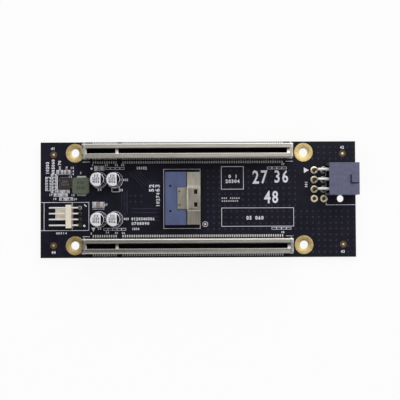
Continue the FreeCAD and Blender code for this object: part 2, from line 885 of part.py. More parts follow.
nodes = [make_board()]
for slot, slot_line in enumerate(slot_lines, start=1):
    nodes.append(make_slot_housing("slot_%d_housing" % slot, slot_line))
    nodes.append(make_slot_shield("slot_%d_shield" % slot, slot_line))
    nodes.append(make_slot_contacts("slot_%d_contacts_upper" % slot, slot_line, 1))
    nodes.append(make_slot_contacts("slot_%d_contacts_lower" % slot, slot_line, -1))
nodes.append(make_cable_block())
nodes.append(make_cable_shell())
nodes.append(make_cable_contacts("cable_contacts_top", d.tongue_height + d.tongue_thick / 2))
under_tongue = d.tongue_height - d.tongue_thick / 2 - d.blade_thick
nodes.append(make_cable_contacts("cable_contacts_bottom", under_tongue))
nodes.append(make_power_housing())
nodes += make_power_pins()
nodes.append(make_fan_wafer())
nodes += make_fan_pins()
nodes += make_capacitors()
nodes += make_choke()
nodes.append(make_chip())
nodes += make_ceramics()
nodes += make_small_parts()
doc.recompute()

for made in doc.Objects:
    if "Invalid" in made.State or "Error" in made.State:
        raise RuntimeError("%s failed: %s" % (made.Label, made.State))
for node in nodes:
    if node.Shape.isNull() or not node.Shape.isValid():
        raise RuntimeError("%s has no valid shape" % node.Label)

os.makedirs("parts", exist_ok=True)
for node in nodes:
    node.Shape.exportStep("parts/%s.step" % node.Label)
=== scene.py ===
import json
import math

import bmesh
import bpy
from bpy_extras import mesh_utils
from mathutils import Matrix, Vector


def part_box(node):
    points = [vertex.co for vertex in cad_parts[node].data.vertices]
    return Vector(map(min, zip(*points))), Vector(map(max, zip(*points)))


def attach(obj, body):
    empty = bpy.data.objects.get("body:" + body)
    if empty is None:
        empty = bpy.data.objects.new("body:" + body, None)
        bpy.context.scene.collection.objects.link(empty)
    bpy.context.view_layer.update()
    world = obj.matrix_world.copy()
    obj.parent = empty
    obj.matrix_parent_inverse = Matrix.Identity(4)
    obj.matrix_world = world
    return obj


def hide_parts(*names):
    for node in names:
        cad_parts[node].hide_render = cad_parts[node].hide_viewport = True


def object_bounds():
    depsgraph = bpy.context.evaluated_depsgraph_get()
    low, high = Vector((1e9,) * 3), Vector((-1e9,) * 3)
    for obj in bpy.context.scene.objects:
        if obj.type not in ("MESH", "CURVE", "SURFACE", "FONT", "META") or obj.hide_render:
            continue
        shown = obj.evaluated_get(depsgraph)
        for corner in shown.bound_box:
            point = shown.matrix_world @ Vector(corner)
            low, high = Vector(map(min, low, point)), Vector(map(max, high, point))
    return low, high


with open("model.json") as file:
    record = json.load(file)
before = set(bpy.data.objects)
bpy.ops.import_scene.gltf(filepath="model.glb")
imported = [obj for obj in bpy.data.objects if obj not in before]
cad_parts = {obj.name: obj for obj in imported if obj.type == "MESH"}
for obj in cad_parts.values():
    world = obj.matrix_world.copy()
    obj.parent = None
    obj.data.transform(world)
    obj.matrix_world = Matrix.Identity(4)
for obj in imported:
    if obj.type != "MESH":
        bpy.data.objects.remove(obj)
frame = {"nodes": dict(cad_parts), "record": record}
cad_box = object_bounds()


# The circuit board is glass cloth and epoxy pressed with copper, coated with a blue-black solder
# mask, then drilled and routed to its outline. The cut edges show the bare laminate.
MM = 0.001
board_low, board_high = [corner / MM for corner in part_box("board")]
board_top = board_high.z
board_middle = (board_low + board_high) / 2


def add(tree, kind, inputs=None, **settings):
    """Adds one node; its inputs are plain values, or the nodes or sockets that feed them."""
    node = tree.nodes.new(kind)
    for name, value in settings.items():
        setattr(node, name, value)
    for key, value in (inputs or {}).items():
        if isinstance(value, bpy.types.Node):
            value = next(socket for socket in value.outputs if socket.enabled)
        if isinstance(value, bpy.types.NodeSocket):
            tree.links.new(value, node.inputs[key])
        else:
            node.inputs[key].default_value = value
    return node


def linear(code):
    """The linear colour of an sRGB hex code."""
    levels = [int(code[at:at + 2], 16) / 255 for at in (0, 2, 4)]
    return [v / 12.92 if v <= 0.04045 else ((v + 0.055) / 1.055) ** 2.4 for v in levels] + [1.0]


def blank_material(name):
    """A new material with an empty node tree, which the caller fills."""
    material = bpy.data.materials.new(name)
    material.use_nodes = True
    material.node_tree.nodes.clear()
    return material, material.node_tree


def solder_mask(name, base, drift, edge):
    """Cured epoxy mask: dark and smooth, with the glass cloth's weave just telling through it."""
    weave_period = 0.9 * MM     # the cloth is finer than this; drawn coarser so that it shows
    mottle_size = 4 * MM
    bare_rim = 1.3 * MM         # copper stops this far inside the cut edge
    rim_tone, rim_share = "161A1C", 0.6
    material, tree = blank_material(name)
    place = add(tree, "ShaderNodeTexCoord").outputs["Object"]
    threads = {"Vector": place, "Scale": math.tau / 20 / weave_period, "Distortion": 0.4}
    waves = [
        add(tree, "ShaderNodeTexWave", threads, wave_type="BANDS", bands_direction=way).outputs["Fac"]
        for way in ("X", "Y")
    ]
    weave = add(tree, "ShaderNodeMath", {0: waves[0], 1: waves[1]}, operation="MULTIPLY")
    mottle = add(tree, "ShaderNodeTexNoise", {"Vector": place, "Scale": 1 / mottle_size, "Detail": 3.0})
    shift = add(tree, "ShaderNodeMapRange", {"Value": mottle, "From Min": 0.35, "From Max": 0.65})
    tint = add(tree, "ShaderNodeMix", {0: shift, 6: linear(base), 7: linear(drift)}, data_type="RGBA")
    spot = add(tree, "ShaderNodeVectorMath", {0: place, 1: board_middle * MM}, operation="SUBTRACT")
    away = add(tree, "ShaderNodeVectorMath", {0: spot}, operation="ABSOLUTE")
    axes = add(tree, "ShaderNodeSeparateXYZ", {0: away}).outputs
    past = [
        add(tree, "ShaderNodeMath", {0: axes[at], 1: half * MM - bare_rim}, operation="GREATER_THAN")
        for at, half in enumerate(board_high.xy - board_middle.xy)
    ]
    rim = add(tree, "ShaderNodeMath", {0: past[0], 1: past[1]}, operation="MAXIMUM")
    share = add(tree, "ShaderNodeMath", {0: rim, 1: rim_share}, operation="MULTIPLY")
    rimmed = add(tree, "ShaderNodeMix", {0: share, 6: tint, 7: linear(rim_tone)}, data_type="RGBA")
    facing = add(tree, "ShaderNodeNewGeometry").outputs["True Normal"]
    lift = add(tree, "ShaderNodeSeparateXYZ", {0: facing}).outputs["Z"]
    level = add(tree, "ShaderNodeMath", {0: lift}, operation="ABSOLUTE")
    upright = add(tree, "ShaderNodeMath", {0: level, 1: 0.5}, operation="LESS_THAN")
    colour = add(tree, "ShaderNodeMix", {0: upright, 6: rimmed, 7: linear(edge)}, data_type="RGBA")
    rough = add(tree, "ShaderNodeMapRange", {"Value": mottle, "To Min": 0.36, "To Max": 0.52})
    bump = add(tree, "ShaderNodeBump", {"Height": weave, "Strength": 0.18, "Distance": 0.02 * MM})
    shader = add(tree, "ShaderNodeBsdfPrincipled", {
        "Base Color": colour, "Roughness": rough, "Normal": bump, "Specular IOR Level": 0.14})
    add(tree, "ShaderNodeOutputMaterial", {"Surface": shader})
    return material


def dress(node, finish):
    """Gives a solid that keeps its own shape its finish."""
    mesh = frame["nodes"][node].data
    mesh.materials.clear()
    mesh.materials.append(finish)


mask_finish = solder_mask("blue_black_solder_mask", "14131F", "1B1A29", "4A4A3C")
dress("board", mask_finish)


# Copper runs under the mask as fine tracks, and lifts it a little where it passes. They are etched
# from the board's copper sheet, so the mask over them is the same coat, only paler.
track_width = 0.3
track_height = 0.03
tracks_level = [(-25.5, -13.1, -4.2), (-25.5, -13.1, -5.84), (-15.0, -13.1, -7.83), (-15.0, -13.1, -9.5),
                (-17.8, -12.6, 7.4), (-16.6, -12.6, 6.5)]
tracks_upright = [(-29.71, 3.2, -3.9), (-28.7, 3.4, -4.6), (-27.78, 3.6, -5.3), (-27.25, 3.8, -5.9)]
track_slant = 2.6
tracks_slanting = [(-26.5, 11.7), (-25.2, 12.0), (-23.9, 12.3), (-22.6, 12.6)]
slant_run = 6.2
merge_reach = 0.0005 * MM
node_slots = {row["node"]: row["material_slot"] for row in frame["record"]["subparts"]}


def skin(bm, rings, closed=False):
    """Joins rings of points, in mm, by faces; the row of rings is closed too, or capped at its ends."""
    rows = [[bm.verts.new([v * MM for v in point]) for point in ring] for ring in rings]
    for near, far in zip(rows, rows[1:] + (rows[:1] if closed else [])):
        for at in range(len(near)):
            bm.faces.new((near[at - 1], near[at], far[at], far[at - 1]))
    if not closed:
        bm.faces.new(rows[0])
        bm.faces.new(rows[-1])
    return rows


def prism(bm, outline, low, high):
    """Adds a closed plate with the given outline, in mm, between two heights."""
    skin(bm, [[(x, y, z) for x, y in outline] for z in (low, high)])


def rectangle(x0, y0, x1, y1):
    """The four corners of an upright rectangle."""
    return [(x0, y0), (x1, y0), (x1, y1), (x0, y1)]


def ribbon(bm, points, width, low, high, closed=False):
    """Adds a flat band of even width along a line of points, with its corners mitred."""
    count = len(points)
    rings = []
    for at, (x, y) in enumerate(points):
        legs = []
        if closed or at > 0:
            legs.append((points[at - 1], points[at]))
        if closed or at < count - 1:
            legs.append((points[at], points[(at + 1) % count]))
        nx = ny = 0
        for (x0, y0), (x1, y1) in legs:
            run = math.hypot(x1 - x0, y1 - y0)
            nx += (y0 - y1) / run
            ny += (x1 - x0) / run
        reach = width / 2 * len(legs) / (nx * nx + ny * ny)
        rings.append([(x + nx * out, y + ny * out, z) for out, z in rectangle(-reach, low, reach, high)])
    skin(bm, rings, closed)


def as_mesh(bm, name):
    """Turns drawn faces into a mesh."""
    mesh = bpy.data.meshes.new(name)
    bm.to_mesh(mesh)
    bm.free()
    return mesh


def stand(name, data):
    """Stands a mesh, curve, lamp or lens in the scene."""
    made = bpy.data.objects.new(name, data)
    bpy.context.scene.collection.objects.link(made)
    return made


def settle(name, bm, finish, slot=None, smooth=35, node=None):
    """Turns drawn faces into a finished piece on the board, in a solid's place if one is named."""
    bmesh.ops.remove_doubles(bm, verts=bm.verts, dist=merge_reach)
    bmesh.ops.recalc_face_normals(bm, faces=bm.faces)
    mesh = as_mesh(bm, name)
    mesh.materials.append(finish)
    mesh.shade_smooth()
    mesh.set_sharp_from_angle(angle=math.radians(smooth))
    piece = stand(name, mesh)
    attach(piece, "root")
    slot = node_slots.get(node, slot)
    if node:
        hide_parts(node)
    return piece


lines = [[(x0, y), (x1, y)] for x0, x1, y in tracks_level]
for x, y0, y1 in tracks_upright:
    lines.append([(x, y0), (x, y1), (x - track_slant, y1 - track_slant)])
lines += [[(x, y), (x + slant_run, y - slant_run)] for x, y in tracks_slanting]
tracks = bmesh.new()
for line in lines:
    ribbon(tracks, line, track_width, board_top, board_top + track_height)
copper_mask = solder_mask("solder_mask_over_copper", "2A2C38", "363846", "2A2C38")
settle("masked_tracks", tracks, copper_mask, "laminate")


# Small plated holes stitch the copper layers together on a square grid. The mask tents over them,
# so each shows as a low round swelling with a slight dip, on both faces of the board.
via_pitch = 2.56
via_corner = (49.02, -5.6)
via_columns = range(-17, 10)
via_rows = range(-11, 8)
via_radius = 0.44
via_height = 0.04
via_root = 0.02
via_sides = 10
right_field = 46.5
header_span = (-4.5, 16.5)
middle_field = 6.5
middle_half = 14.5
field_end = board_high.x - 0.6
field_half = 24.2
keep_clear = [(50.2, -20.32, 4.7), (50.2, 20.32, 4.7), (67.45, -20.16, 2.2), (67.37, 19.71, 2.2),
              (67.2, -23.3, 1.9), (67.2, 22.4, 1.9)]
loose_vias = [(x, y) for x in (-26.0, -23.8, -21.1) for y in (1.5, -1.1)]


def copies_tree(name, inputs, place_points):
    """Geometry nodes that set one copy of a piece on every point that place_points gives."""
    tree = bpy.data.node_groups.new(name, "GeometryNodeTree")
    names = {}
    for title, kind in {"Points": "Geometry", "Piece": "Object", "Finish": "Material", **inputs}.items():
        socket = tree.interface.new_socket(title, in_out="INPUT", socket_type="NodeSocket" + kind)
        names[title] = socket.identifier
    tree.interface.new_socket("Copies", in_out="OUTPUT", socket_type="NodeSocketGeometry")
    given = add(tree, "NodeGroupInput").outputs
    piece = add(tree, "GeometryNodeObjectInfo", {"Object": given["Piece"]}).outputs["Geometry"]
    points = place_points(tree, given)
    copied = add(tree, "GeometryNodeInstanceOnPoints", {"Points": points, "Instance": piece})
    real = add(tree, "GeometryNodeRealizeInstances", {"Geometry": copied})
    done = add(tree, "GeometryNodeSetMaterial", {"Geometry": real, "Material": given["Finish"]})
    add(tree, "NodeGroupOutput", {"Copies": done})
    return tree, names


def evaluated(holder):
    """The plain mesh that an object's curves or modifiers come to; the object itself goes."""
    mesh = bpy.data.meshes.new_from_object(holder.evaluated_get(bpy.context.evaluated_depsgraph_get()))
    bpy.data.objects.remove(holder)
    return mesh


def drawn(mesh):
    """A mesh as drawn faces."""
    bm = bmesh.new()
    bm.from_mesh(mesh)
    return bm


def copies(draw, finish, tree, names, values, places=()):
    """Copies what draw makes at the origin, to places in mm or as the tree's values say."""
    shape = bmesh.new()
    draw(shape)
    model = stand("model", as_mesh(shape, "pattern"))
    points = bpy.data.meshes.new("points")
    points.from_pydata([[v * MM for v in place] for place in places], [], [])
    holder = stand("holder", points)
    maker = holder.modifiers.new("maker", "NODES")
    maker.node_group = tree
    for name, value in {"Piece": model, "Finish": finish, **values}.items():
        maker[names[name]] = value
    mesh = evaluated(holder)
    bpy.data.objects.remove(model)
    return drawn(mesh)


def turned(bm, x, y, profile, sides=48):
    """Adds a ring whose section is the given closed loop of (radius, height) in mm."""
    turns = [math.tau * step / sides for step in range(sides)]
    rings = [[(x + r * math.cos(turn), y + r * math.sin(turn), z) for r, z in profile] for turn in turns]
    skin(bm, rings, closed=True)


def draw_via(bm):
    """Both ends of a tented hole: a low dome with a dip in its middle, above and under the board."""
    dome = [(0, -via_root), (via_radius, -via_root), (via_radius, 0), (via_radius * 0.7, via_height),
            (via_radius * 0.35, via_height), (0, via_height * 0.4)]
    turned(bm, 0, 0, dome, via_sides)
    turned(bm, 0, 0, [(r, -board_top - z) for r, z in dome], via_sides)


on_points = copies_tree("one_on_each_point", {}, lambda tree, given: given["Points"])
grid = [
    (via_corner[0] + via_pitch * column, via_corner[1] - via_pitch * row)
    for column in via_columns for row in via_rows
]
vias = []
for x, y in grid + loose_vias:
    on_right = x > right_field and not header_span[0] <= y <= header_span[1]
    in_middle = middle_field < x < right_field and abs(y) < middle_half
    clear = all(math.hypot(x - px, y - py) > reach for px, py, reach in keep_clear)
    on_board = x < field_end and abs(y) < field_half
    if (on_right or in_middle or (x, y) in loose_vias) and clear and on_board:
        vias.append((x, y, board_top))
settle("tented_vias", copies(draw_via, copper_mask, *on_points, {}, vias), copper_mask, "laminate")


# Four mounting holes are lined with copper and gold-plated lands, drilled with the board and plated
# through, so land and lining are one piece like a rivet. The screws seat on the lands.
mount_places = [(x, y) for x in (-50.2, 50.2) for y in (20.32, -20.32)]
mount_bore = 1.85
mount_land = 4.1
land_height = 0.035


def grained(name, tones, grain, stretch=(1, 1, 1), rough=(0.4, 0.5), relief=0.0, **shader_values):
    """A surface whose tone and gloss drift over a grain of the given size in mm."""
    material, tree = blank_material(name)
    place = add(tree, "ShaderNodeTexCoord").outputs["Object"]
    spread = add(tree, "ShaderNodeMapping", {"Vector": place, "Scale": [1 / s for s in stretch]})
    noise = add(tree, "ShaderNodeTexNoise", {
        "Vector": spread, "Scale": 1 / (grain * MM), "Detail": 4.0, "Roughness": 0.6})
    share = add(tree, "ShaderNodeMapRange", {"Value": noise, "From Min": 0.3, "From Max": 0.7})
    tone = add(tree, "ShaderNodeMix", {0: share, 6: linear(tones[0]), 7: linear(tones[1])}, data_type="RGBA")
    gloss = add(tree, "ShaderNodeMapRange", {"Value": share, "To Min": rough[0], "To Max": rough[1]})
    values = {"Base Color": tone, "Roughness": gloss, **shader_values}
    if relief:
        values["Normal"] = add(tree, "ShaderNodeBump", {
            "Height": noise, "Strength": 0.35, "Distance": relief * MM})
    shader = add(tree, "ShaderNodeBsdfPrincipled", values)
    add(tree, "ShaderNodeOutputMaterial", {"Surface": shader})
    return material


def plated_hole(bm, x, y, bore, land, wall, brim, lip, sides):
    """Adds a hole's plating: a land over and under the board, and the lining between them."""
    over = board_top + land_height
    profile = [(bore, -land_height), (land, -land_height), (land, 0), (bore + wall, 0),
               (bore + wall, board_top), (land, board_top), (land - brim, over), (bore + lip, over)]
    if lip:
        profile.append((bore, board_top))
    turned(bm, x, y, profile, sides)


# Immersion gold over nickel: a pale satin yellow, a little cloudy
gold_finish = grained("immersion_gold", ("CAB071", "E2CD98"), 1.2, rough=(0.36, 0.48), relief=0.01,
                      Metallic=1.0)
lands = bmesh.new()
for x, y in mount_places:
    plated_hole(lands, x, y, mount_bore, mount_land, wall=0.05, brim=0.05, lip=0.12, sides=72)
settle("mount_lands", lands, gold_finish, "gold_contact")


# Placing marks near the corners: a gold dot in a round window of the mask, where the bare brown
# laminate shows. The dots are plated with the lands.
mark_places = [(-59.64, 19.68), (67.37, 19.71), (-59.67, -20.28), (67.45, -20.16)]
mark_dot = 0.5
mark_window = 1.5
mark_low = board_top - 0.01
window_top = board_top + 0.008
dot_top = board_top + land_height
# Bare glass-epoxy laminate: dull brown, with the cloth's threads
bare_finish = grained("bare_laminate", ("4A3420", "66492B"), 0.5, rough=(0.5, 0.65), relief=0.02)
# Gold plate thinned and tinned over: pale cream
pale_finish = grained("tinned_gold", ("E4D7B6", "F4EBD4"), 0.8, rough=(0.36, 0.48), relief=0.01,
                      Metallic=1.0)
windows = bmesh.new()
dots = bmesh.new()
for x, y in mark_places:
    turned(windows, x, y, rectangle(mark_dot, mark_low, mark_window, window_top), 40)
    turned(dots, x, y, [(0, mark_low), (mark_dot, mark_low), (mark_dot, board_top + land_height * 0.7),
                        (mark_dot - 0.06, dot_top), (0, dot_top)], 24)
settle("mark_windows", windows, bare_finish)
settle("mark_dots", dots, pale_finish, "gold_contact")


# White marks are printed on the mask through a screen: frames, part outlines, arrows and plain
# numbers. The ink is a thin matt epoxy that lies on the board as a raised film.
ink_line = 0.2
ink_low = board_top - 0.005
ink_top = board_top + 0.045
figure_width = 0.82
small_weight = 0.04
tall_weight = 0.018
tall_figure = 3.0
figure_shapes = {}
quarter = math.pi / 2


def figure_shape(figure, weight):
    """One printed figure as a mesh one unit high and one unit thick, centred."""
    if (figure, weight) not in figure_shapes:
        curve = bpy.data.curves.new("figure", "FONT")
        curve.body = figure
        curve.align_x = "CENTER"
        curve.resolution_u = 2
        curve.extrude = 0.5
        curve.offset = weight
        mesh = evaluated(stand("figure", curve))
        levels = [v.co.y for v in mesh.vertices]
        middle = (max(levels) + min(levels)) / 2
        high = max(levels) - min(levels)
        points = [(v.co.x / high, (v.co.y - middle) / high, v.co.z) for v in mesh.vertices]
        figure_shapes[figure, weight] = (points, [tuple(p.vertices) for p in mesh.polygons])
    return figure_shapes[figure, weight]


def print_figures(bm, text, x, y, length, height, low, high, turn=0.0):
    """Prints a row of figures, centred on a place and spread over a length, in mm."""
    step = length / len(text)
    squeeze = min(1.0, step / (height * figure_width))
    weight = small_weight if height < tall_figure else tall_weight
    for at, figure in enumerate(text):
        if figure == " ":
            continue
        along = (at - (len(text) - 1) / 2) * step
        points, faces = figure_shape(figure, weight)
        verts = []
        for px, py, pz in points:
            u = along + px * height * squeeze
            v = py * height
            verts.append(bm.verts.new((
                (x + u * math.cos(turn) - v * math.sin(turn)) * MM,
                (y + u * math.sin(turn) + v * math.cos(turn)) * MM,
                (low + (pz + 0.5) * (high - low)) * MM)))
        for face in faces:
            bm.faces.new([verts[corner] for corner in face])


# Screen-printed epoxy ink: matt off-white, a little thin in places
ink_finish = grained("screen_printed_ink", ("DEDEEA", "FAFAFF"), 0.8, rough=(0.55, 0.7))
ink = bmesh.new()
level_figures = [
    ("41", -59.96, 22.4, 1.9, 1.25), ("42", 67.21, 22.43, 1.9, 1.3), ("44", -59.69, -23.22, 1.9, 1.3),
    ("43", 67.22, -23.33, 1.9, 1.3), ("12", -52.32, 10.0, 1.7, 0.9), ("13", -51.5, 13.85, 1.8, 0.95),
    ("14", -51.5, 12.45, 1.8, 0.95), ("15", -51.5, 11.15, 1.8, 0.95), ("3", -47.75, 11.62, 0.9, 1.0),
    ("17", -60.89, 2.01, 1.7, 0.95), ("18", -51.17, 1.88, 1.7, 0.95), ("19", -59.18, 0.2, 1.6, 0.95),
    ("20", -50.13, 0.16, 1.6, 0.95), ("40014", -56.26, -14.84, 5.0, 1.05), ("1", -42.54, 15.07, 0.8, 0.9),
    ("31", -36.39, 14.95, 1.6, 0.9), ("32", -32.12, 15.02, 1.6, 0.9), ("33", -29.31, 15.01, 1.6, 0.9),
    ("10102", -21.01, 13.65, 4.8, 1.3), ("24", -39.52, 4.2, 2.0, 1.0), ("25", -29.93, 4.02, 1.6, 1.0),
    ("022", -28.07, 8.5, 2.3, 1.0), ("023", -27.75, -8.65, 2.3, 1.0),
    ("0120340506", -20.45, -8.68, 10.3, 1.35), ("0708090", -21.56, -10.7, 8.0, 1.35),
    ("1010", -23.68, -13.06, 3.3, 1.1), ("26", -39.55, -12.86, 1.9, 1.0), ("34", -36.09, -14.54, 1.6, 0.9),
    ("35", -32.13, -14.82, 1.6, 0.9), ("36", -29.1, -14.84, 1.6, 0.9), ("2", -43.12, -14.99, 0.8, 0.9),
    ("27", -36.69, -2.45, 1.5, 1.0), ("000 00000", 18.05, 0.26, 8.3, 0.75),
    ("00000000", 17.78, -1.0, 7.6, 0.75), ("0 1", 19.1, 9.85, 4.2, 1.6), ("20304", 18.97, 7.7, 6.4, 1.6),
    ("05 060", 28.74, -8.42, 7.8, 1.7), ("27", 30.95, 9.5, 7.2, 5.9), ("36", 40.35, 9.7, 7.0, 5.6),
    ("48", 35.95, 0.7, 6.8, 5.5), ("37", 41.15, 15.13, 1.6, 0.9), ("38", 40.88, -14.76, 1.6, 0.9),
]
upright_figures = [
    ("10203", -62.37, 13.84, 5.6, 1.45), ("405060", -59.87, 14.32, 6.7, 1.45),
    ("70", -57.04, 16.06, 2.2, 1.35), ("809", -56.9, 13.4, 2.6, 1.0), ("516", -54.0, 13.4, 2.4, 1.0),
    ("52", -16.65, 4.83, 3.7, 2.2), ("63", -14.06, 4.82, 3.7, 2.2), ("10274", -13.85, -0.3, 6.4, 1.6),
    ("301", 51.31, 6.16, 2.8, 1.1),
]
for figures, turn in ((level_figures, 0.0), (upright_figures, quarter)):
    for text, x, y, length, height in figures:
        print_figures(ink, text, x, y, length, height, ink_low, ink_top, turn)
printed_frames = [
    (-34.06, 3.24, -30.82, 5.19), (14.04, 4.2, 23.74, 14.15), (14.12, -12.11, 45.73, -4.04),
    (-11.34, -12.97, 4.71, 13.08),
]
for corners in printed_frames:
    ribbon(ink, rectangle(*corners), ink_line, ink_low, ink_top, closed=True)
board_end = board_low.x + 0.1
open_lines = [
    [(board_end, -1.32), (-44.2, -1.32), (-44.2, -13.67), (board_end, -13.67)],
    [(-63.85, -1.43), (-63.85, -13.56)], [(-51.5, -1.43), (-51.5, -13.56)],
    [(60.06, -1.9), (60.06, -2.85), (72.9, -2.85)], [(-42.5, -4.32), (-37.36, -4.32)],
]
for y in (16.4, -16.4):
    open_lines += [[(-46.9, y), (-43.7, y)], [(42.3, y), (45.5, y)]]
open_lines += [[(60.0, y - 0.5), (60.0, y + 0.5)] for y in (10.3, 6.1, 1.95)]
for line in open_lines:
    ribbon(ink, line, ink_line, ink_low, ink_top)
pad_chains = [
    (-36.83, -28.53, 13.58), (-37.75, -27.86, -13.2), (34.16, 42.81, 13.47), (35.97, 44.67, -13.05),
]
chain_pitch = 2.1
chain_half = 0.45
chain_gap = 0.1
chain_line = 0.16
for x0, x1, y in pad_chains:
    links = round((x1 - x0) / chain_pitch)
    step = (x1 - x0) / links
    for at in range(links):
        near = x0 + step * at
        corners = rectangle(near + chain_gap, y - chain_half, near + step - chain_gap, y + chain_half)
        ribbon(ink, corners, chain_line, ink_low, ink_top, closed=True)
arrows = [[(50.33, 13.63), (50.33, 11.2), (52.61, 12.44)], [(-43.1, -12.4), (-42.2, -14.3), (-41.3, -12.4)]]
for corners in arrows:
    prism(ink, corners, ink_low, ink_top)
first_pin_tick = [(-46.25, -2.2), (-45.3, -3.2)]
tick_width = 0.5
ribbon(ink, first_pin_tick, tick_width, ink_low, ink_top)
can_places = [(x, y) for x in (-39.7, -32.77) for y in (8.42, -8.87)]
can_ring = 3.5
printed_rings = [(x, y, can_ring) for x, y in can_places] + [(6.88, -11.1, 1.1)]
for x, y, radius in printed_rings:
    turned(ink, x, y, rectangle(radius - ink_line / 2, ink_low, radius + ink_line / 2, ink_top), 56)
printed_dots = [(6.88, -11.1, 0.45), (-42.99, 13.49, 0.5), (-46.2, -11.6, 0.5)]
for x, y, radius in printed_dots:
    turned(ink, x, y, rectangle(0, ink_low, radius, ink_top), 24)
settle("screen_print", ink, ink_finish)


# Round lands ring the power and fan headers' holes, plated through like the mounting holes. The
# power holes are filled with solder, drawn down a little and coloured dark bronze.
power_columns = (54.85, 59.05)
power_lines = (12.45, 8.25, 4.05, -0.15)
power_land = 1.6
power_bore = 0.88
plug_bottom = 0.1
plug_top = 1.0
plug_climb = 0.2
fan_lines = (-3.72, -6.26, -8.8, -11.34)
fan_column = -48.15
fan_land = 0.95
fan_bore = 0.48
pin_lands = bmesh.new()
wetted_lands = bmesh.new()
plugs = bmesh.new()
plug_radius = power_bore - 0.05
for x in power_columns:
    for y in power_lines:
        wetted = x == power_columns[1] and y != power_lines[3]
        plated_hole(wetted_lands if wetted else pin_lands, x, y, power_bore - 0.04, power_land,
                    wall=0.04, brim=0.06, lip=0.1, sides=40)
        turned(plugs, x, y, [
            (0, plug_bottom), (plug_radius, plug_bottom), (plug_radius, plug_top + plug_climb),
            (power_bore * 0.6, plug_top), (0, plug_top - 0.05)], 28)
settle("power_lands", pin_lands, pale_finish, "gold_contact")
# Solder down in a hole, coloured dark bronze, half matt
plug_finish = grained("dull_solder", ("4A3A20", "7A6238"), 0.5, rough=(0.45, 0.6), relief=0.02, Metallic=0.7)
settle("power_hole_solder", plugs, plug_finish, "tinned_lead")
# Solder left on a land by hot air: grey and dull
levelled_finish = grained("levelled_solder", ("9C9C96", "BABAB2"), 0.6, rough=(0.4, 0.55), relief=0.01,
                          Metallic=0.8)
settle("wetted_power_lands", wetted_lands, levelled_finish, "tinned_lead")
# The fan header's other three rings: olive, hardly brighter than the board
dim_finish = grained("masked_copper_ring", ("2E2F26", "45473A"), 0.6, rough=(0.4, 0.55), relief=0.01)
for name, rows, finish in (("first_fan_land", fan_lines[:1], levelled_finish),
                           ("fan_lands", fan_lines[1:], dim_finish)):
    fan_rings = bmesh.new()
    for y in rows:
        plated_hole(fan_rings, fan_column, y, fan_bore, fan_land, wall=0.01, brim=0.05, lip=0, sides=32)
    settle(name, fan_rings, finish)


# Each card slot stands in a row of surface-mount joints: tinned spring contacts whose feet lie on
# solder lands either side. The contacts are stamped strips, pressed into the moulding from below.
slot_lines = (20.32, -20.32)
first_contact = -42.2
contact_pitch = 1.0
key_gap = 3.0
contacts_before = 11
contacts_after = 71
contact_width = 0.5
contact_thick = 0.2
contact_path = [(4.68, 0.15), (1.72, 0.15), (1.5, 0.42), (1.62, 3.4), (1.0, 7.1), (1.22, 8.2)]
foot_land = (3.8, 4.66)
joint_half = (0.27, 0.19)
joint_levels = (-0.02, 0.13)
joint_slope = 0.12
joint_brim = 0.03
# Where the painted shade on the contact feet gives way to bright tin, in mm from the slot's line
shade_edge = (3.54, 3.7)


def keyed_row(tree, given):
    """The points of one row of contacts, broken by the card's key."""
    step = add(tree, "ShaderNodeCombineXYZ", {"X": given["Pitch"]})
    steps = add(tree, "ShaderNodeMath", {0: given["Before Key"], 1: 1.0}, operation="SUBTRACT")
    run = add(tree, "ShaderNodeMath", {0: steps, 1: given["Pitch"], 2: given["Key Gap"]},
              operation="MULTIPLY_ADD")
    over = add(tree, "ShaderNodeCombineXYZ", {"X": run})
    second = add(tree, "ShaderNodeVectorMath", {0: given["First"], 1: over}, operation="ADD")
    both = add(tree, "GeometryNodeJoinGeometry")
    for count, start in (("Before Key", given["First"]), ("After Key", second)):
        span = add(tree, "GeometryNodeMeshLine", {
            "Count": given[count], "Start Location": start, "Offset": step}, mode="OFFSET")
        tree.links.new(span.outputs[0], both.inputs[0])
    return both


def sideways(path, at):
    """The direction square to a line of points at one of them."""
    before, after = path[max(at - 1, 0)], path[min(at + 1, len(path) - 1)]
    run = math.hypot(after[0] - before[0], after[1] - before[1])
    return (before[1] - after[1]) / run, (after[0] - before[0]) / run


def draw_contact(bm, side):
    """One stamped strip, bent from its foot up to the bowed spring that meets the card."""
    rings = []
    for at, (across, up) in enumerate(contact_path):
        nx, nz = sideways(contact_path, at)
        half = contact_thick / 2
        rings.append([
            (x, side * (across + nx * out), up + nz * out)
            for x, out in rectangle(-contact_width / 2, -half, contact_width / 2, half)
        ])
    skin(bm, rings)


def draw_joint(bm, side):
    """The solder of one foot: a low sloping bed, higher where it wets the strip."""
    near, far = foot_land
    bed = rectangle(-joint_half[0], near, joint_half[0], far)
    crown = rectangle(-joint_half[1], near + joint_slope, joint_half[1], far - joint_brim)
    skin(bm, [[(x, side * y, z) for x, y in loop] for loop, z in zip((bed, crown), joint_levels)])


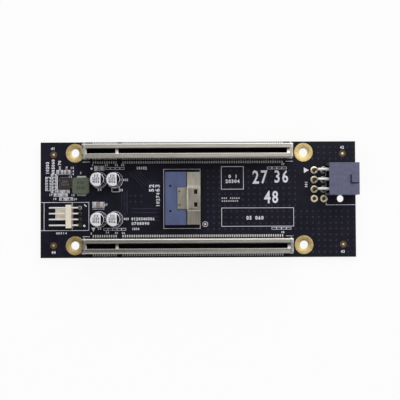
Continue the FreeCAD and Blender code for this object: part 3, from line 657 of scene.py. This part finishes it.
def contact_plate(name, tin, nickel):
    """Tin on one strip: bright on the toe of each foot, with painted shade making it near black further in,
    towards the slot.
    """
    cloud_size = 0.7 * MM
    material, tree = blank_material(name)
    place = add(tree, "ShaderNodeTexCoord").outputs["Object"]
    cloud = add(tree, "ShaderNodeTexNoise", {"Vector": place, "Scale": 1 / cloud_size, "Detail": 3.0})
    bright = add(tree, "ShaderNodeMix", {0: cloud, 6: linear(tin[0]), 7: linear(tin[1])}, data_type="RGBA")
    across = add(tree, "ShaderNodeSeparateXYZ", {0: place}).outputs["Y"]
    outward = add(tree, "ShaderNodeMath", {0: across}, operation="ABSOLUTE")
    from_line = add(tree, "ShaderNodeMath", {0: outward, 1: slot_lines[0] * MM}, operation="SUBTRACT")
    reach = add(tree, "ShaderNodeMath", {0: from_line}, operation="ABSOLUTE")
    toe = add(tree, "ShaderNodeMapRange", {
        "Value": reach, "From Min": shade_edge[0] * MM, "From Max": shade_edge[1] * MM})
    tone = add(tree, "ShaderNodeMix", {0: toe, 6: linear(nickel), 7: bright}, data_type="RGBA")
    rough = add(tree, "ShaderNodeMapRange", {"Value": cloud, "To Min": 0.4, "To Max": 0.55})
    shader = add(tree, "ShaderNodeBsdfPrincipled", {"Base Color": tone, "Roughness": rough, "Metallic": 1.0})
    add(tree, "ShaderNodeOutputMaterial", {"Surface": shader})
    return material


row_inputs = {
    "First": "Vector", "Pitch": "Float", "Before Key": "Int", "After Key": "Int", "Key Gap": "Float",
}
contact_row = copies_tree("contact_row", row_inputs, keyed_row)
# Painted shade: the contact strips are near black from the slot out to just short of the toe
plate_finish = contact_plate("tin_over_nickel_plate", ("C8C8C6", "E6E6E4"), "2A2926")
# Tin plate on stamped copper alloy: grey, softly cloudy
tin_finish = grained("tin_plate", ("C2C2C0", "DEDEDB"), 0.7, rough=(0.38, 0.5), relief=0.006, Metallic=1.0)
# Reflowed solder: fairly bright, with a fine frosted skin
solder_finish = grained("reflowed_solder", ("B2B2B0", "D2D2CF"), 0.4, rough=(0.4, 0.55), relief=0.01,
                        Metallic=1.0)
for number, line in enumerate(slot_lines, start=1):
    row = {"First": [first_contact * MM, line * MM, board_top * MM], "Pitch": contact_pitch * MM,
           "Before Key": contacts_before, "After Key": contacts_after, "Key Gap": key_gap * MM}
    for name, side in (("upper", 1), ("lower", -1)):
        strips = copies(lambda bm: draw_contact(bm, side), plate_finish, *contact_row, row)
        node = "slot_%d_contacts_%s" % (number, name)
        settle(node + "_row", strips, plate_finish, node=node)
        joints = copies(lambda bm: draw_joint(bm, side), solder_finish, *contact_row, row)
        settle("slot_%d_joints_%s_row" % (number, name), joints, solder_finish, "tinned_contact")


# A slot's body is a black glass-filled moulding, pressed over its contacts. Steel armour, folded
# from one sheet, is sprung over it and its legs are soldered through the board.
fold_width = 0.07
rail_profile = [
    (0.0, 0.06), (1.1, 0.06), (1.25, 0.02), (1.78, 0.03), (1.88, 0.045), (1.98, 0.03), (2.5, 0.04),
]
fold_profile = [(0.22, 0.04), (0.13, 0.06), (0.06, 0.11), (0.02, 0.17), (0.0, 0.24)]
end_bar = 1.3
bar_step = 0.15
level_slack = 1e-6
join_slack = 1e-4


def roll_rails(bm, line):
    """Works shallow ridges into a shield's two rails, and leaves its end bars standing."""
    top = max(vert.co.z for vert in bm.verts)
    left = min(vert.co.x for vert in bm.verts) / MM
    right = max(vert.co.x for vert in bm.verts) / MM
    edge = max(abs(vert.co.y / MM - line) for vert in bm.verts if top - vert.co.z < level_slack)
    profile = rail_profile + [(edge - inward, drop) for inward, drop in fold_profile]
    cuts = [((0, line + side * across, 0), (0, 1, 0)) for across, drop in profile[1:-1] for side in (-1, 1)]
    for inward in (end_bar, end_bar + bar_step):
        cuts += [((at, 0, 0), (1, 0, 0)) for at in (left + inward, right - inward)]
    for spot, normal in cuts:
        bmesh.ops.bisect_plane(bm, geom=bm.verts[:] + bm.edges[:] + bm.faces[:], dist=1e-7,
                               plane_co=[v * MM for v in spot], plane_no=normal)
    for vert in bm.verts:
        if top - vert.co.z > level_slack:
            continue
        along, across = vert.co.x / MM, abs(vert.co.y / MM - line)
        share = min(1, max(0, min(along - left, right - along) - end_bar) / bar_step)
        for (near, low), (far, high) in zip(profile, profile[1:]):
            if near <= across <= far + join_slack:
                vert.co.z -= share * (low + (high - low) * (across - near) / (far - near)) * MM
                break


def merged(node):
    """A copy of a solid's faces, with its doubled points merged."""
    bm = drawn(frame["nodes"][node].data)
    bmesh.ops.remove_doubles(bm, verts=bm.verts, dist=merge_reach)
    return bm


def softened(node, width, finish, cutters=(), segments=2, cut_first=False, shape=None):
    """Stands a copy with rounded edges in a solid's place, with any cutters sunk into it."""
    bm = merged(node)
    bmesh.ops.dissolve_limit(bm, angle_limit=math.radians(1), verts=bm.verts, edges=bm.edges)
    if shape:
        shape(bm)
    holder = stand("copy", as_mesh(bm, "copy"))
    for step in ("cut", "round") if cut_first else ("round", "cut"):
        if step == "round":
            bevel = holder.modifiers.new("rounding", "BEVEL")
            bevel.width = width * MM
            bevel.segments = segments
            bevel.limit_method = "ANGLE"
            bevel.angle_limit = math.radians(30)
        elif cutters:
            holder.modifiers.new("triangles", "TRIANGULATE")
            for tool in cutters:
                cut = holder.modifiers.new("cut", "BOOLEAN")
                cut.operation = "DIFFERENCE"
                cut.solver = "EXACT"
                cut.object = tool
    piece = settle(node + "_finished", drawn(evaluated(holder)), finish, node=node)
    for tool in cutters:
        bpy.data.objects.remove(tool)
    flats = piece.modifiers.new("even_flats", "WEIGHTED_NORMAL")
    flats.keep_sharp = True


# Glass-filled polyamide straight from the tool: near black, dull, fine grained
black_finish = grained("black_polyamide", ("070709", "0F0E13"), 0.3, rough=(0.5, 0.65), relief=0.01,
                       **{"Specular IOR Level": 0.3})
# Cold-rolled steel sheet with a pale nickel flash: fine lines along the roll, warm grey
steel_finish = grained("brushed_steel_sheet", ("BAB6AF", "D2CEC7"), 0.25, stretch=(40, 1, 1),
                       rough=(0.19, 0.27), relief=0.003, Metallic=1.0)
for number, line in enumerate(slot_lines, start=1):
    dress("slot_%d_housing" % number, black_finish)
    softened("slot_%d_shield" % number, fold_width, steel_finish, shape=lambda bm: roll_rails(bm, line))


# The cable receptacle: a blue-grey moulded block with a tongue that carries two rows of gold blades,
# and a nickel-plated shell pressed round the tongue, with a tab over the block and soldered legs.
block_edge = 0.12
block_pits = [(-8.2, 5.5), (-8.2, -5.4)]
pit_radius = 0.5
pit_depth = 2.2
ledge_drop = 0.2
ledge_reach = (-5.4, -14, 6, 14)
shell_edge = 0.22
tab_dents = [(-4.25, 3.06), (-4.25, -2.78)]
dent_radius = 0.34
dent_depth = 0.9
slit = (-1.55, -4.7, -1.2, 4.9)
slit_depth = 0.2
seam_ridge = [(-1.05, -0.01), (-0.55, -0.01), (-0.7, 0.08), (-0.9, 0.08)]
seam_reach = (-4.8, 5.0)
lower_fold = [(-4.92, 0.02), (-5.5, 0.29), (-5.5, 0.34), (-4.92, 0.1)]
fold_reach = (-0.95, 4.7)


def cutter(bm):
    """Stands drawn faces in the scene as a solid that cuts others."""
    bmesh.ops.recalc_face_normals(bm, faces=bm.faces)
    return stand("cutter", as_mesh(bm, "cutter"))


def plate(outline, low, high):
    """A cutter with the given outline between two heights."""
    bm = bmesh.new()
    prism(bm, outline, low, high)
    return cutter(bm)


def drill(places, radius, top, depth, sides=24):
    """A cutter for round pits sunk from a face."""
    bm = bmesh.new()
    turns = [math.tau * at / sides for at in range(sides)]
    for x, y in places:
        outline = [(x + radius * math.cos(turn), y + radius * math.sin(turn)) for turn in turns]
        prism(bm, outline, top - depth, top + 1)
    return cutter(bm)


# Moulded liquid-crystal polymer: smooth blue-grey with flow drift
blue_finish = grained("blue_grey_polymer", ("48537A", "566189"), 2.5, stretch=(1, 3, 1), rough=(0.42, 0.55),
                      relief=0.012)
# Nickel-plated pressed shell: warm grey, faintly streaked across the mouth
shell_finish = grained("nickel_plated_shell", ("948F84", "ADA79B"), 0.5, stretch=(1, 12, 1),
                       rough=(0.36, 0.46), relief=0.003, Metallic=1.0)
block_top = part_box("cable_block")[1].z / MM
shell_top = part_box("cable_shell")[1].z / MM
softened("cable_block", block_edge, blue_finish, [
    plate(rectangle(*ledge_reach), block_top - ledge_drop, block_top + 1),
    drill(block_pits, pit_radius, block_top, pit_depth),
    drill(tab_dents, dent_radius + 0.15, block_top, pit_depth)], cut_first=True)
softened("cable_shell", shell_edge, shell_finish, [
    drill(tab_dents, dent_radius, shell_top, dent_depth),
    plate(rectangle(*slit), shell_top - slit_depth, shell_top + 1)], segments=3)
# Nickel painted paler along the seam and the lower fold: painted highlight
painted_highlight_finish = grained("burnished_nickel", ("CFCABD", "E2DDD0"), 0.5, stretch=(1, 12, 1), rough=(0.3, 0.4),
                        Metallic=1.0)
# Painted highlight: the seam ridge and the lower fold carry the paler nickel
seam = bmesh.new()
skin(seam, [[(x, y, shell_top + up) for x, up in seam_ridge] for y in seam_reach])
settle("shell_seam", seam, painted_highlight_finish, "shell_steel")
fold = bmesh.new()
skin(fold, [[(x, y, shell_top - drop) for y, drop in lower_fold] for x in fold_reach])
settle("shell_lower_fold", fold, painted_highlight_finish, "shell_steel")
# Gold blades with the shell's shade painted in: a dull bronze, painted shade
blade_finish = grained("shaded_gold_blade", ("3E3420", "54482C"), 0.8, rough=(0.4, 0.52), relief=0.005,
                       Metallic=1.0)
for row in ("top", "bottom"):
    dress("cable_contacts_" + row, blade_finish)


# The power header: a slate-coloured moulding with six keyed cells and a latch ramp, and six square
# tinned pins bent down through the board. The pins are pressed into the housing's rear wall.
header_edge = 0.12
power_top = 11.2
groove_deep = 0.9
ramp_x = (69.48, 72.7)
ramp_y = (6.58, 9.9)
groove_x, groove_y = 68.9, 6.0
pin_edge = 0.12
tip_length, tip_share = 0.5, 0.55
tail_length, tail_share = 0.4, 0.6
bend_steps = 8
bend_radius = 1.3
# Painted shade along the pins: the first rings stay bright, the next ones turn to the brown shade tone
unshaded_rings = 3
shade_rings = 3
shade_tone = "8A806A"
pin_metal = (0.25, 1.0)
# Flame-retardant polyamide: slate violet-grey, slightly sheened
slate_finish = grained("slate_polyamide", ("565770", "666883"), 1.6, rough=(0.42, 0.56), relief=0.014)
groove = plate([(groove_x, groove_y), (ramp_x[1], groove_y), (ramp_x[1], ramp_y[0]), (ramp_x[0], ramp_y[0]),
                (ramp_x[0], ramp_y[1]), (groove_x, ramp_y[1])], power_top - groove_deep, power_top + 2)
softened("power_housing", header_edge, slate_finish, [groove], cut_first=True)
# Square wire, bright tinned and drawn lengthwise, with painted shade turning it brown round the bend
# and down the soldered leg, as the stain mark on the mesh says
pin_finish = grained("tinned_square_wire", ("EAEAE8", "F8F8F6"), 0.8, stretch=(8, 1, 1), rough=(0.4, 0.5))
pin_tree = pin_finish.node_tree
pin_shader = pin_tree.nodes["Principled BSDF"].inputs
stain = add(pin_tree, "ShaderNodeAttribute", attribute_name="stain").outputs["Fac"]
tinned = pin_shader["Base Color"].links[0].from_socket
darkened = add(pin_tree, "ShaderNodeMix", {0: stain, 6: tinned, 7: linear(shade_tone)}, data_type="RGBA")
shone = add(pin_tree, "ShaderNodeMapRange", {"Value": stain, "To Min": pin_metal[0], "To Max": pin_metal[1]})
pin_tree.links.new(darkened.outputs[2], pin_shader["Base Color"])
pin_tree.links.new(shone.outputs[0], pin_shader["Metallic"])


def bent_pin(node, tip_side):
    """Draws a square wire: level from its pointed tip, round the bend and down to its tail."""
    low, high = [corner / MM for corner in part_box(node)]
    thick = high.y - low.y
    middle = (low.y + high.y) / 2
    level = high.z - thick / 2
    tip, turn_x = (high.x, low.x + thick / 2) if tip_side > 0 else (low.x, high.x - thick / 2)
    radius = thick * bend_radius
    path = [(tip, level, tip_share), (tip - tip_side * thick * tip_length, level, 1.0)]
    for step in range(bend_steps + 1):
        turn = quarter * step / bend_steps
        along, down = radius * (1 - math.sin(turn)), radius * (1 - math.cos(turn))
        path.append((turn_x + tip_side * along, level - down, 1.0))
    path += [(turn_x, low.z + thick * tail_length, 1.0), (turn_x, low.z, tail_share)]
    half = thick / 2
    inner = half - pin_edge * thick
    section = [(inner, -half), (half, -inner), (half, inner), (inner, half),
               (-inner, half), (-half, inner), (-half, -inner), (-inner, -half)]
    rings = []
    for at, (x, z, size) in enumerate(path):
        nx, nz = sideways(path, at)
        rings.append([(x + nx * v * size, middle + u * size, z + nz * v * size) for u, v in section])
    bm = bmesh.new()
    mark = bm.verts.layers.float.new("stain")
    # Painted shade: rings round the bend and down the leg are marked for the brown tone
    for at, ring in enumerate(skin(bm, rings)):
        for vert in ring:
            vert[mark] = min(max((at - unshaded_rings) / shade_rings, 0.0), 1.0)
    settle(node + "_wire", bm, pin_finish, smooth=50, node=node)


for row in ("lower", "upper"):
    for number in (1, 2, 3):
        bent_pin("power_pin_%s_%d" % (row, number), 1)


# The fan header: a natural cream wafer with a lock tab, moulded in one, on four square tinned pins
# that leave it level over the tab and bend down through the board behind it.
wafer_edge = 0.14
# Unfilled polyamide: cream, slightly waxy
cream_finish = grained("natural_polyamide", ("E8DCC8", "F6EDDC"), 1.2, rough=(0.4, 0.52), relief=0.01)
softened("fan_wafer", wafer_edge, cream_finish)
for number in (1, 2, 3, 4):
    bent_pin("fan_pin_%d" % number, -1)


# Four electrolytic capacitors: drawn aluminium cans crimped over a rubber seal, printed with a black
# half-moon for the minus side and plain figures. Their wire leads pass through the board.
can_radius = 3.15
can_bottom, can_top = [corner.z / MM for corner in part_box("capacitor_1_can")]
can_round = 0.5
can_sides = 64
crimp_radius = 2.88
crimp_levels = (2.9, 3.2, 3.45, 3.75)
moon_chord = 0.51
moon_radius = 2.8
moon_steps = 12
top_disc_radius = 2.85
print_film = 0.015
can_lines = [("010", -0.3, 1.55, 1.9), ("2203", -0.45, 0.3, 3.2), ("4056", -0.45, -1.0, 3.2)]
can_figure = 1.2
seal_radius = 2.6
lead_step = 1.25
lead_radius = 0.25
# Drawn aluminium under a clear coat: pale and even, with a soft sheen
can_finish = grained("coated_aluminium_can", ("BEBEC4", "D4D4DA"), 0.9, rough=(0.1, 0.16), Metallic=1.0)
# Painted reflection: the can's bare aluminium top drawn as a white satin disc, faintly blue, for the bright
# surroundings it mirrors
top_reflection_finish = grained("white_can_lacquer", ("E2E2EA", "F2F2F6"), 0.9, rough=(0.45, 0.55))
# Printing ink on the can: black, half matt
moon_finish = grained("black_can_print", ("020205", "08080D"), 0.5, rough=(0.5, 0.6),
                      **{"Specular IOR Level": 0.15})
# Thinner ink for the can's figures: dark grey, half matt
figure_ink = grained("dark_can_print", ("18181E", "2A2A32"), 0.5, rough=(0.45, 0.6))
# Moulded rubber: black and dull
rubber_finish = grained("black_rubber", ("0C0C0D", "161617"), 0.4, rough=(0.6, 0.75), relief=0.01)
moon_turn = math.acos(moon_chord * can_radius / moon_radius)
moon = [
    (moon_radius * math.cos(moon_turn * share), moon_radius * math.sin(moon_turn * share))
    for share in [step / moon_steps - 1 for step in range(2 * moon_steps + 1)]
]
can_profile = [(0, can_bottom), (can_radius - 0.3, can_bottom), (can_radius, can_bottom + 0.25)]
can_profile += zip((can_radius, crimp_radius, crimp_radius, can_radius), crimp_levels)
can_profile += [
    (can_radius - can_round * (1 - math.cos(turn)), can_top - can_round * (1 - math.sin(turn)))
    for turn in [quarter * step / 5 for step in range(6)]
]
can_profile.append((0, can_top))
for number, (x, y) in enumerate(sorted(can_places, key=lambda spot: (-spot[1], spot[0])), start=1):
    title = "capacitor_%d_" % number
    can = bmesh.new()
    turned(can, x, y, can_profile, can_sides)
    settle(title + "drawn_can", can, can_finish, node=title + "can")
    # Painted reflection: a white disc over the can's top
    top_disc = bmesh.new()
    turned(top_disc, x, y, [(0, can_top - 0.01), (top_disc_radius, can_top - 0.01),
                        (top_disc_radius - 0.1, can_top + print_film), (0, can_top + print_film)], can_sides)
    settle(title + "top_coat", top_disc, top_reflection_finish)
    half_moon = bmesh.new()
    prism(half_moon, [(x + px, y + py) for px, py in moon], can_top, can_top + print_film * 2)
    settle(title + "half_moon", half_moon, moon_finish)
    figures = bmesh.new()
    for text, left, up, length in can_lines:
        print_figures(figures, text, x + left, y + up, length, can_figure, can_top, can_top + print_film * 2)
    settle(title + "figures", figures, figure_ink)
    seal = bmesh.new()
    turned(seal, x, y, [(0, board_top), (seal_radius - 0.25, board_top), (seal_radius, board_top + 0.12),
                        (seal_radius, can_bottom), (0, can_bottom)])
    settle(title + "seal", seal, rubber_finish, node=title + "base")
    wire_low, wire_high = [corner.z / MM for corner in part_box(title + "leads")]
    wire_profile = [(0, wire_low), (lead_radius - 0.05, wire_low), (lead_radius, wire_low + 0.08),
                    (lead_radius, wire_high), (0, wire_high)]
    wires = bmesh.new()
    for step in (-lead_step, lead_step):
        turned(wires, x + step, y, wire_profile, 16)
    settle(title + "wires", wires, tin_finish, node=title + "leads")


# The choke: a coil pressed into a block of iron powder, with flat tinned ends folded out under it.
# Plain figures are stamped on its top in dark ink.
choke_edge = 0.3
terminal_edge = 0.04
choke_rows = [("010", 1.3), ("2030", -0.9)]
choke_figure = (0.95, 1.5)
print_root = 0.01


def mark_top(name, node, rows, figure, film, finish):
    """Marks rows of plain figures on a solid's top, round its middle."""
    low, high = [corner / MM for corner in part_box(node)]
    middle = (low + high) / 2
    step, height = figure
    marks = bmesh.new()
    for text, up in rows:
        print_figures(marks, text, middle.x, middle.y + up, step * len(text), height,
                      high.z - print_root, high.z + film)
    settle(name, marks, finish)


# Pressed and lacquered iron powder: grey-green and speckled
choke_finish = grained("pressed_iron_powder", ("4A5143", "646B59"), 0.35, rough=(0.5, 0.65), relief=0.03)
# Ink stamped on the powder: a shade darker, half sunk in
stamp_finish = grained("dark_stamping_ink", ("23261F", "30342B"), 0.4, rough=(0.5, 0.6))
softened("choke_core", choke_edge, choke_finish, segments=3)
softened("choke_terminals", terminal_edge, tin_finish)
mark_top("choke_figures", "choke_core", choke_rows, choke_figure, print_film, stamp_finish)


# The regulator is a flat chip moulded in epoxy with its pads round the edge, soldered face down. A
# small moulded dimple marks its first pad, and a laser has burnt plain figures into its top.
chip_low, chip_high = [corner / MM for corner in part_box("regulator_chip")]
chip_middle = (chip_low + chip_high) / 2
chip_edge = 0.14
dimple = (chip_middle.x - 1.75, chip_middle.y + 1.75)
dimple_radius = 0.3
dimple_depth = 0.05
chip_rows = [("306", 0.75), ("2614", -0.55)]
chip_figure = (0.9, 1.05)
burn_film = 0.012
pad_pitch = 0.65
pad_count = 7
pad_out = 0.22
pad_in = 0.1
pad_half = 0.16
pad_top = board_top + 0.12
# Moulding epoxy: brown-black, finely pitted
epoxy_finish = grained("moulding_epoxy", ("211A1B", "302829"), 0.3, rough=(0.4, 0.55), relief=0.015)
pit = drill([dimple], dimple_radius, chip_high.z, dimple_depth)
softened("regulator_chip", chip_edge, epoxy_finish, [pit])
# Epoxy frosted by a laser: a dim grey, quite matt
frosted_finish = grained("laser_frosted_epoxy", ("565053", "767074"), 0.3, rough=(0.6, 0.75))
mark_top("chip_figures", "regulator_chip", chip_rows, chip_figure, burn_film, frosted_finish)
chip_pads = bmesh.new()
for at in range(pad_count):
    along = (at - (pad_count - 1) / 2) * pad_pitch
    x, y = chip_middle.x + along, chip_middle.y + along
    for edge, out in ((chip_low, -1), (chip_high, 1)):
        x0, x1 = edge.x - out * pad_in, edge.x + out * pad_out
        y0, y1 = edge.y - out * pad_in, edge.y + out * pad_out
        prism(chip_pads, rectangle(x0, y - pad_half, x1, y + pad_half), board_top, pad_top)
        prism(chip_pads, rectangle(x - pad_half, y0, x + pad_half, y1), board_top, pad_top)
settle("chip_pads", chip_pads, solder_finish, "tinned_lead")


# Small resistors and ceramic capacitors: little blocks of ceramic with plated ends, each soldered to
# two lands. The plating wraps the ends, and the solder climbs up it.
plate_wrap = 0.32
plate_film = 0.03
plate_edge = 0.06
body_inset = 0.05
solder_out = 0.28
solder_in = 0.8
solder_beside = 0.06
solder_climb = 0.45
solder_edge = 0.06
end_lift = 0.02
outline_gap = (0.34, 0.16)
outline_line = 0.22


def separate_solids(node):
    """The box of each separate solid in a node, in mm."""
    mesh = as_mesh(merged(node), "solids")
    found = []
    for triangles in mesh_utils.mesh_linked_triangles(mesh):
        spots = [mesh.vertices[at].co / MM for triangle in triangles for at in triangle.vertices]
        found.append([[pick(spot[axis] for spot in spots) for axis in range(3)] for pick in (min, max)])
    return sorted(found)


def rounded_block(bm, low, high, round_off):
    """Adds a block with its edges taken off, between two corners in mm."""
    made = bmesh.ops.create_cube(bm, size=1)["verts"]
    for vert in made:
        for axis in range(3):
            vert.co[axis] = (low[axis] if vert.co[axis] < 0 else high[axis]) * MM
    edges = {edge for vert in made for edge in vert.link_edges}
    bmesh.ops.bevel(bm, geom=list(edges), offset=round_off * MM, segments=2, profile=0.5, affect="EDGES")


# Glazed alumina with a black coat, for the resistors
resistor_finish = grained("glazed_alumina", ("24242C", "34343E"), 0.4, rough=(0.3, 0.42))
# Sintered ceramic: tan-brown, dense and dull
ceramic_finish = grained("sintered_ceramic", ("857268", "9E8B80"), 0.5, rough=(0.45, 0.58), relief=0.01)
# A redder and a greyer batch of the same ceramic, for the two filter capacitors
filter_finish = grained("filter_ceramic", ("6E4A48", "85807A"), 2.8, rough=(0.45, 0.58), relief=0.01)
# Tin barrier on the ends of chip parts: dull grey after reflow
end_finish = grained("reflowed_end_plate", ("B4B4BC", "D0D0D8"), 0.5, rough=(0.42, 0.55), relief=0.006,
                     Metallic=0.5)
outlines = bmesh.new()
chip_parts = [
    ("resistors", resistor_finish), ("small_ceramics", ceramic_finish), ("filter_ceramics", filter_finish),
    ("ceramic_1", ceramic_finish), ("ceramic_2", ceramic_finish),
]
for node, finish in chip_parts:
    bodies = bmesh.new()
    ends = bmesh.new()
    joints = bmesh.new()
    for low, high in separate_solids(node):
        beside, above = outline_gap
        corners = rectangle(low[0] - beside, low[1] - above, high[0] + beside, high[1] + above)
        ribbon(outlines, corners, outline_line, ink_low, ink_top, closed=True)
        wrap = plate_wrap * (high[0] - low[0])
        rounded_block(bodies, [low[0] + body_inset, low[1] + plate_film, low[2] + body_inset],
                      [high[0] - body_inset, high[1] - plate_film, high[2] - plate_film], body_inset)
        for edge, out in ((low[0], -1), (high[0], 1)):
            x0, x1 = sorted((edge, edge - out * wrap))
            rounded_block(ends, [x0, low[1], low[2] + end_lift], [x1, high[1], high[2]], plate_edge)
            climb = low[2] + (high[2] - low[2]) * solder_climb
            toe = edge + out * solder_out
            inner = edge - out * wrap * solder_in
            fillet = [(toe, low[2]), (inner, low[2]), (inner, low[2] + solder_edge), (edge, climb)]
            skin(joints, [[(x, y, z) for x, z in fillet]
                          for y in (low[1] - solder_beside, high[1] + solder_beside)])
    settle(node + "_bodies", bodies, finish, node=node)
    settle(node + "_plated_ends", ends, end_finish, "tinned_lead")
    settle(node + "_solder", joints, end_finish, "tinned_lead")
settle("part_outlines", outlines, ink_finish)


# Under the board every pin tail and leg stands in a cone of solder, drawn up by the wave that the
# board was run over.
cone_height = 0.75
cone_root = 0.02
cone_sides = 24
power_tails = [(x, y) for x in power_columns for y in power_lines[:3]]
fan_tails = [(fan_column, y) for y in fan_lines]
legs = [(x, y + side) for x in (-45.6, 44.2) for y in slot_lines for side in (-2.2, 2.2)]
legs += [(x, y) for x in (-0.15, 3.45) for y in (11.35, -11.15)]
can_tails = [(x + step, y) for x, y in can_places for step in (-lead_step, lead_step)]
cones = bmesh.new()
for places, wide, narrow in ((power_tails, 1.35, 0.62), (fan_tails, 0.85, 0.42), (legs, 0.9, 0.55),
                             (can_tails, 0.8, 0.34)):
    cone = [(0, cone_root), (wide, cone_root), (wide, -0.03), (wide * 0.72, -0.16),
            (narrow * 1.1, -0.42), (narrow, -cone_height), (0, -cone_height)]
    for x, y in places:
        turned(cones, x, y, cone, cone_sides)
settle("tail_solder", cones, solder_finish, "tinned_lead")


# The picture: a white sweep, an even soft light from all round and two soft boxes, and the camera
# above the card as in the photograph.
floor_level = cad_box[0].z
floor_half = 3.0
floor_glow = 0.9
bright_side = (0.447, 0.894, 0.0)
stops = [(0.0, 0.7), (0.14, 0.65), (0.25, 0.2), (0.33, 0.05), (0.45, 0.03), (0.475, 0.12), (0.495, 0.45),
         (0.53, 0.58), (0.56, 0.9), (0.7, 0.95), (0.85, 0.9), (0.97, 0.4)]
soft_boxes = [("key_box", (0.25, 0.6, 0.6), 0.9, 5.0), ("fill_box", (-0.4, -0.4, 0.6), 0.5, 0.9)]


def white_floor():
    """White paint that shows as pure white and still takes the card's shadow."""
    material, tree = blank_material("white_sweep")
    path = add(tree, "ShaderNodeLightPath").outputs
    seen = path["Is Camera Ray"]
    for kind in ("Is Glossy Ray", "Is Transmission Ray"):
        seen = add(tree, "ShaderNodeMath", {0: seen, 1: path[kind]}, operation="MAXIMUM")
    share = add(tree, "ShaderNodeMath", {0: seen, 1: floor_glow}, operation="MULTIPLY")
    paint = add(tree, "ShaderNodeBsdfDiffuse", {"Color": linear("F8F8F8")})
    glow = add(tree, "ShaderNodeEmission", {"Color": linear("FFFFFF"), "Strength": 1.0})
    mixed = add(tree, "ShaderNodeMixShader", {0: share, 1: paint, 2: glow})
    add(tree, "ShaderNodeOutputMaterial", {"Surface": mixed})
    return material


floor_mesh = bpy.data.meshes.new("floor")
floor_corners = rectangle(-floor_half, -floor_half, floor_half, floor_half)
floor_mesh.from_pydata([(x, y, floor_level) for x, y in floor_corners], [], [(0, 1, 2, 3)])
floor_mesh.materials.append(white_floor())
floor = stand("floor", floor_mesh)

world = bpy.data.worlds.new("studio")
bpy.context.scene.world = world
world.use_nodes = True
sky = world.node_tree
sky.nodes.clear()
path = add(sky, "ShaderNodeLightPath").outputs
way = add(sky, "ShaderNodeTexCoord").outputs["Generated"]
toward = add(sky, "ShaderNodeVectorMath", {0: way, 1: bright_side}, operation="DOT_PRODUCT")
across = add(sky, "ShaderNodeMapRange", {"Value": toward, "From Min": -1.0, "From Max": 1.0})
bands = add(sky, "ShaderNodeValToRGB", {"Fac": across})
ramp = bands.color_ramp.elements
while len(ramp) < len(stops):
    ramp.new(1.0)
for stop, (place, level) in zip(ramp, stops):
    stop.position = place
    stop.color = (level, level, level, 1.0)
mirrored = add(sky, "ShaderNodeMath", {0: path["Is Glossy Ray"], 1: path["Is Transmission Ray"]},
               operation="MAXIMUM")
soft = add(sky, "ShaderNodeMix", {0: mirrored, 6: linear("ABABAB"), 7: bands}, data_type="RGBA")
shown = add(sky, "ShaderNodeMix", {0: path["Is Camera Ray"], 6: soft, 7: linear("FFFFFF")}, data_type="RGBA")
light = add(sky, "ShaderNodeBackground", {"Color": shown, "Strength": 1.0})
add(sky, "ShaderNodeOutputWorld", {"Surface": light})

for name, place, side, watts in soft_boxes:
    lamp = bpy.data.lights.new(name, "AREA")
    lamp.size = side
    lamp.energy = watts
    box = stand(name, lamp)
    box.location = place
    box.rotation_mode = "QUATERNION"
    box.rotation_quaternion = (-box.location).to_track_quat("-Z", "Y")
    box.visible_glossy = name == "key_box"

lens = bpy.data.cameras.new("camera")
lens.sensor_width = 36
lens.lens = 72
lens.clip_start = 0.01
camera = stand("camera", lens)
camera.location = (0.00434, -0.00977, 0.35293)
camera.rotation_euler = (0.0264, -0.0007, -0.0044)
bpy.context.scene.camera = camera
bpy.context.scene.view_settings.view_transform = "Standard"
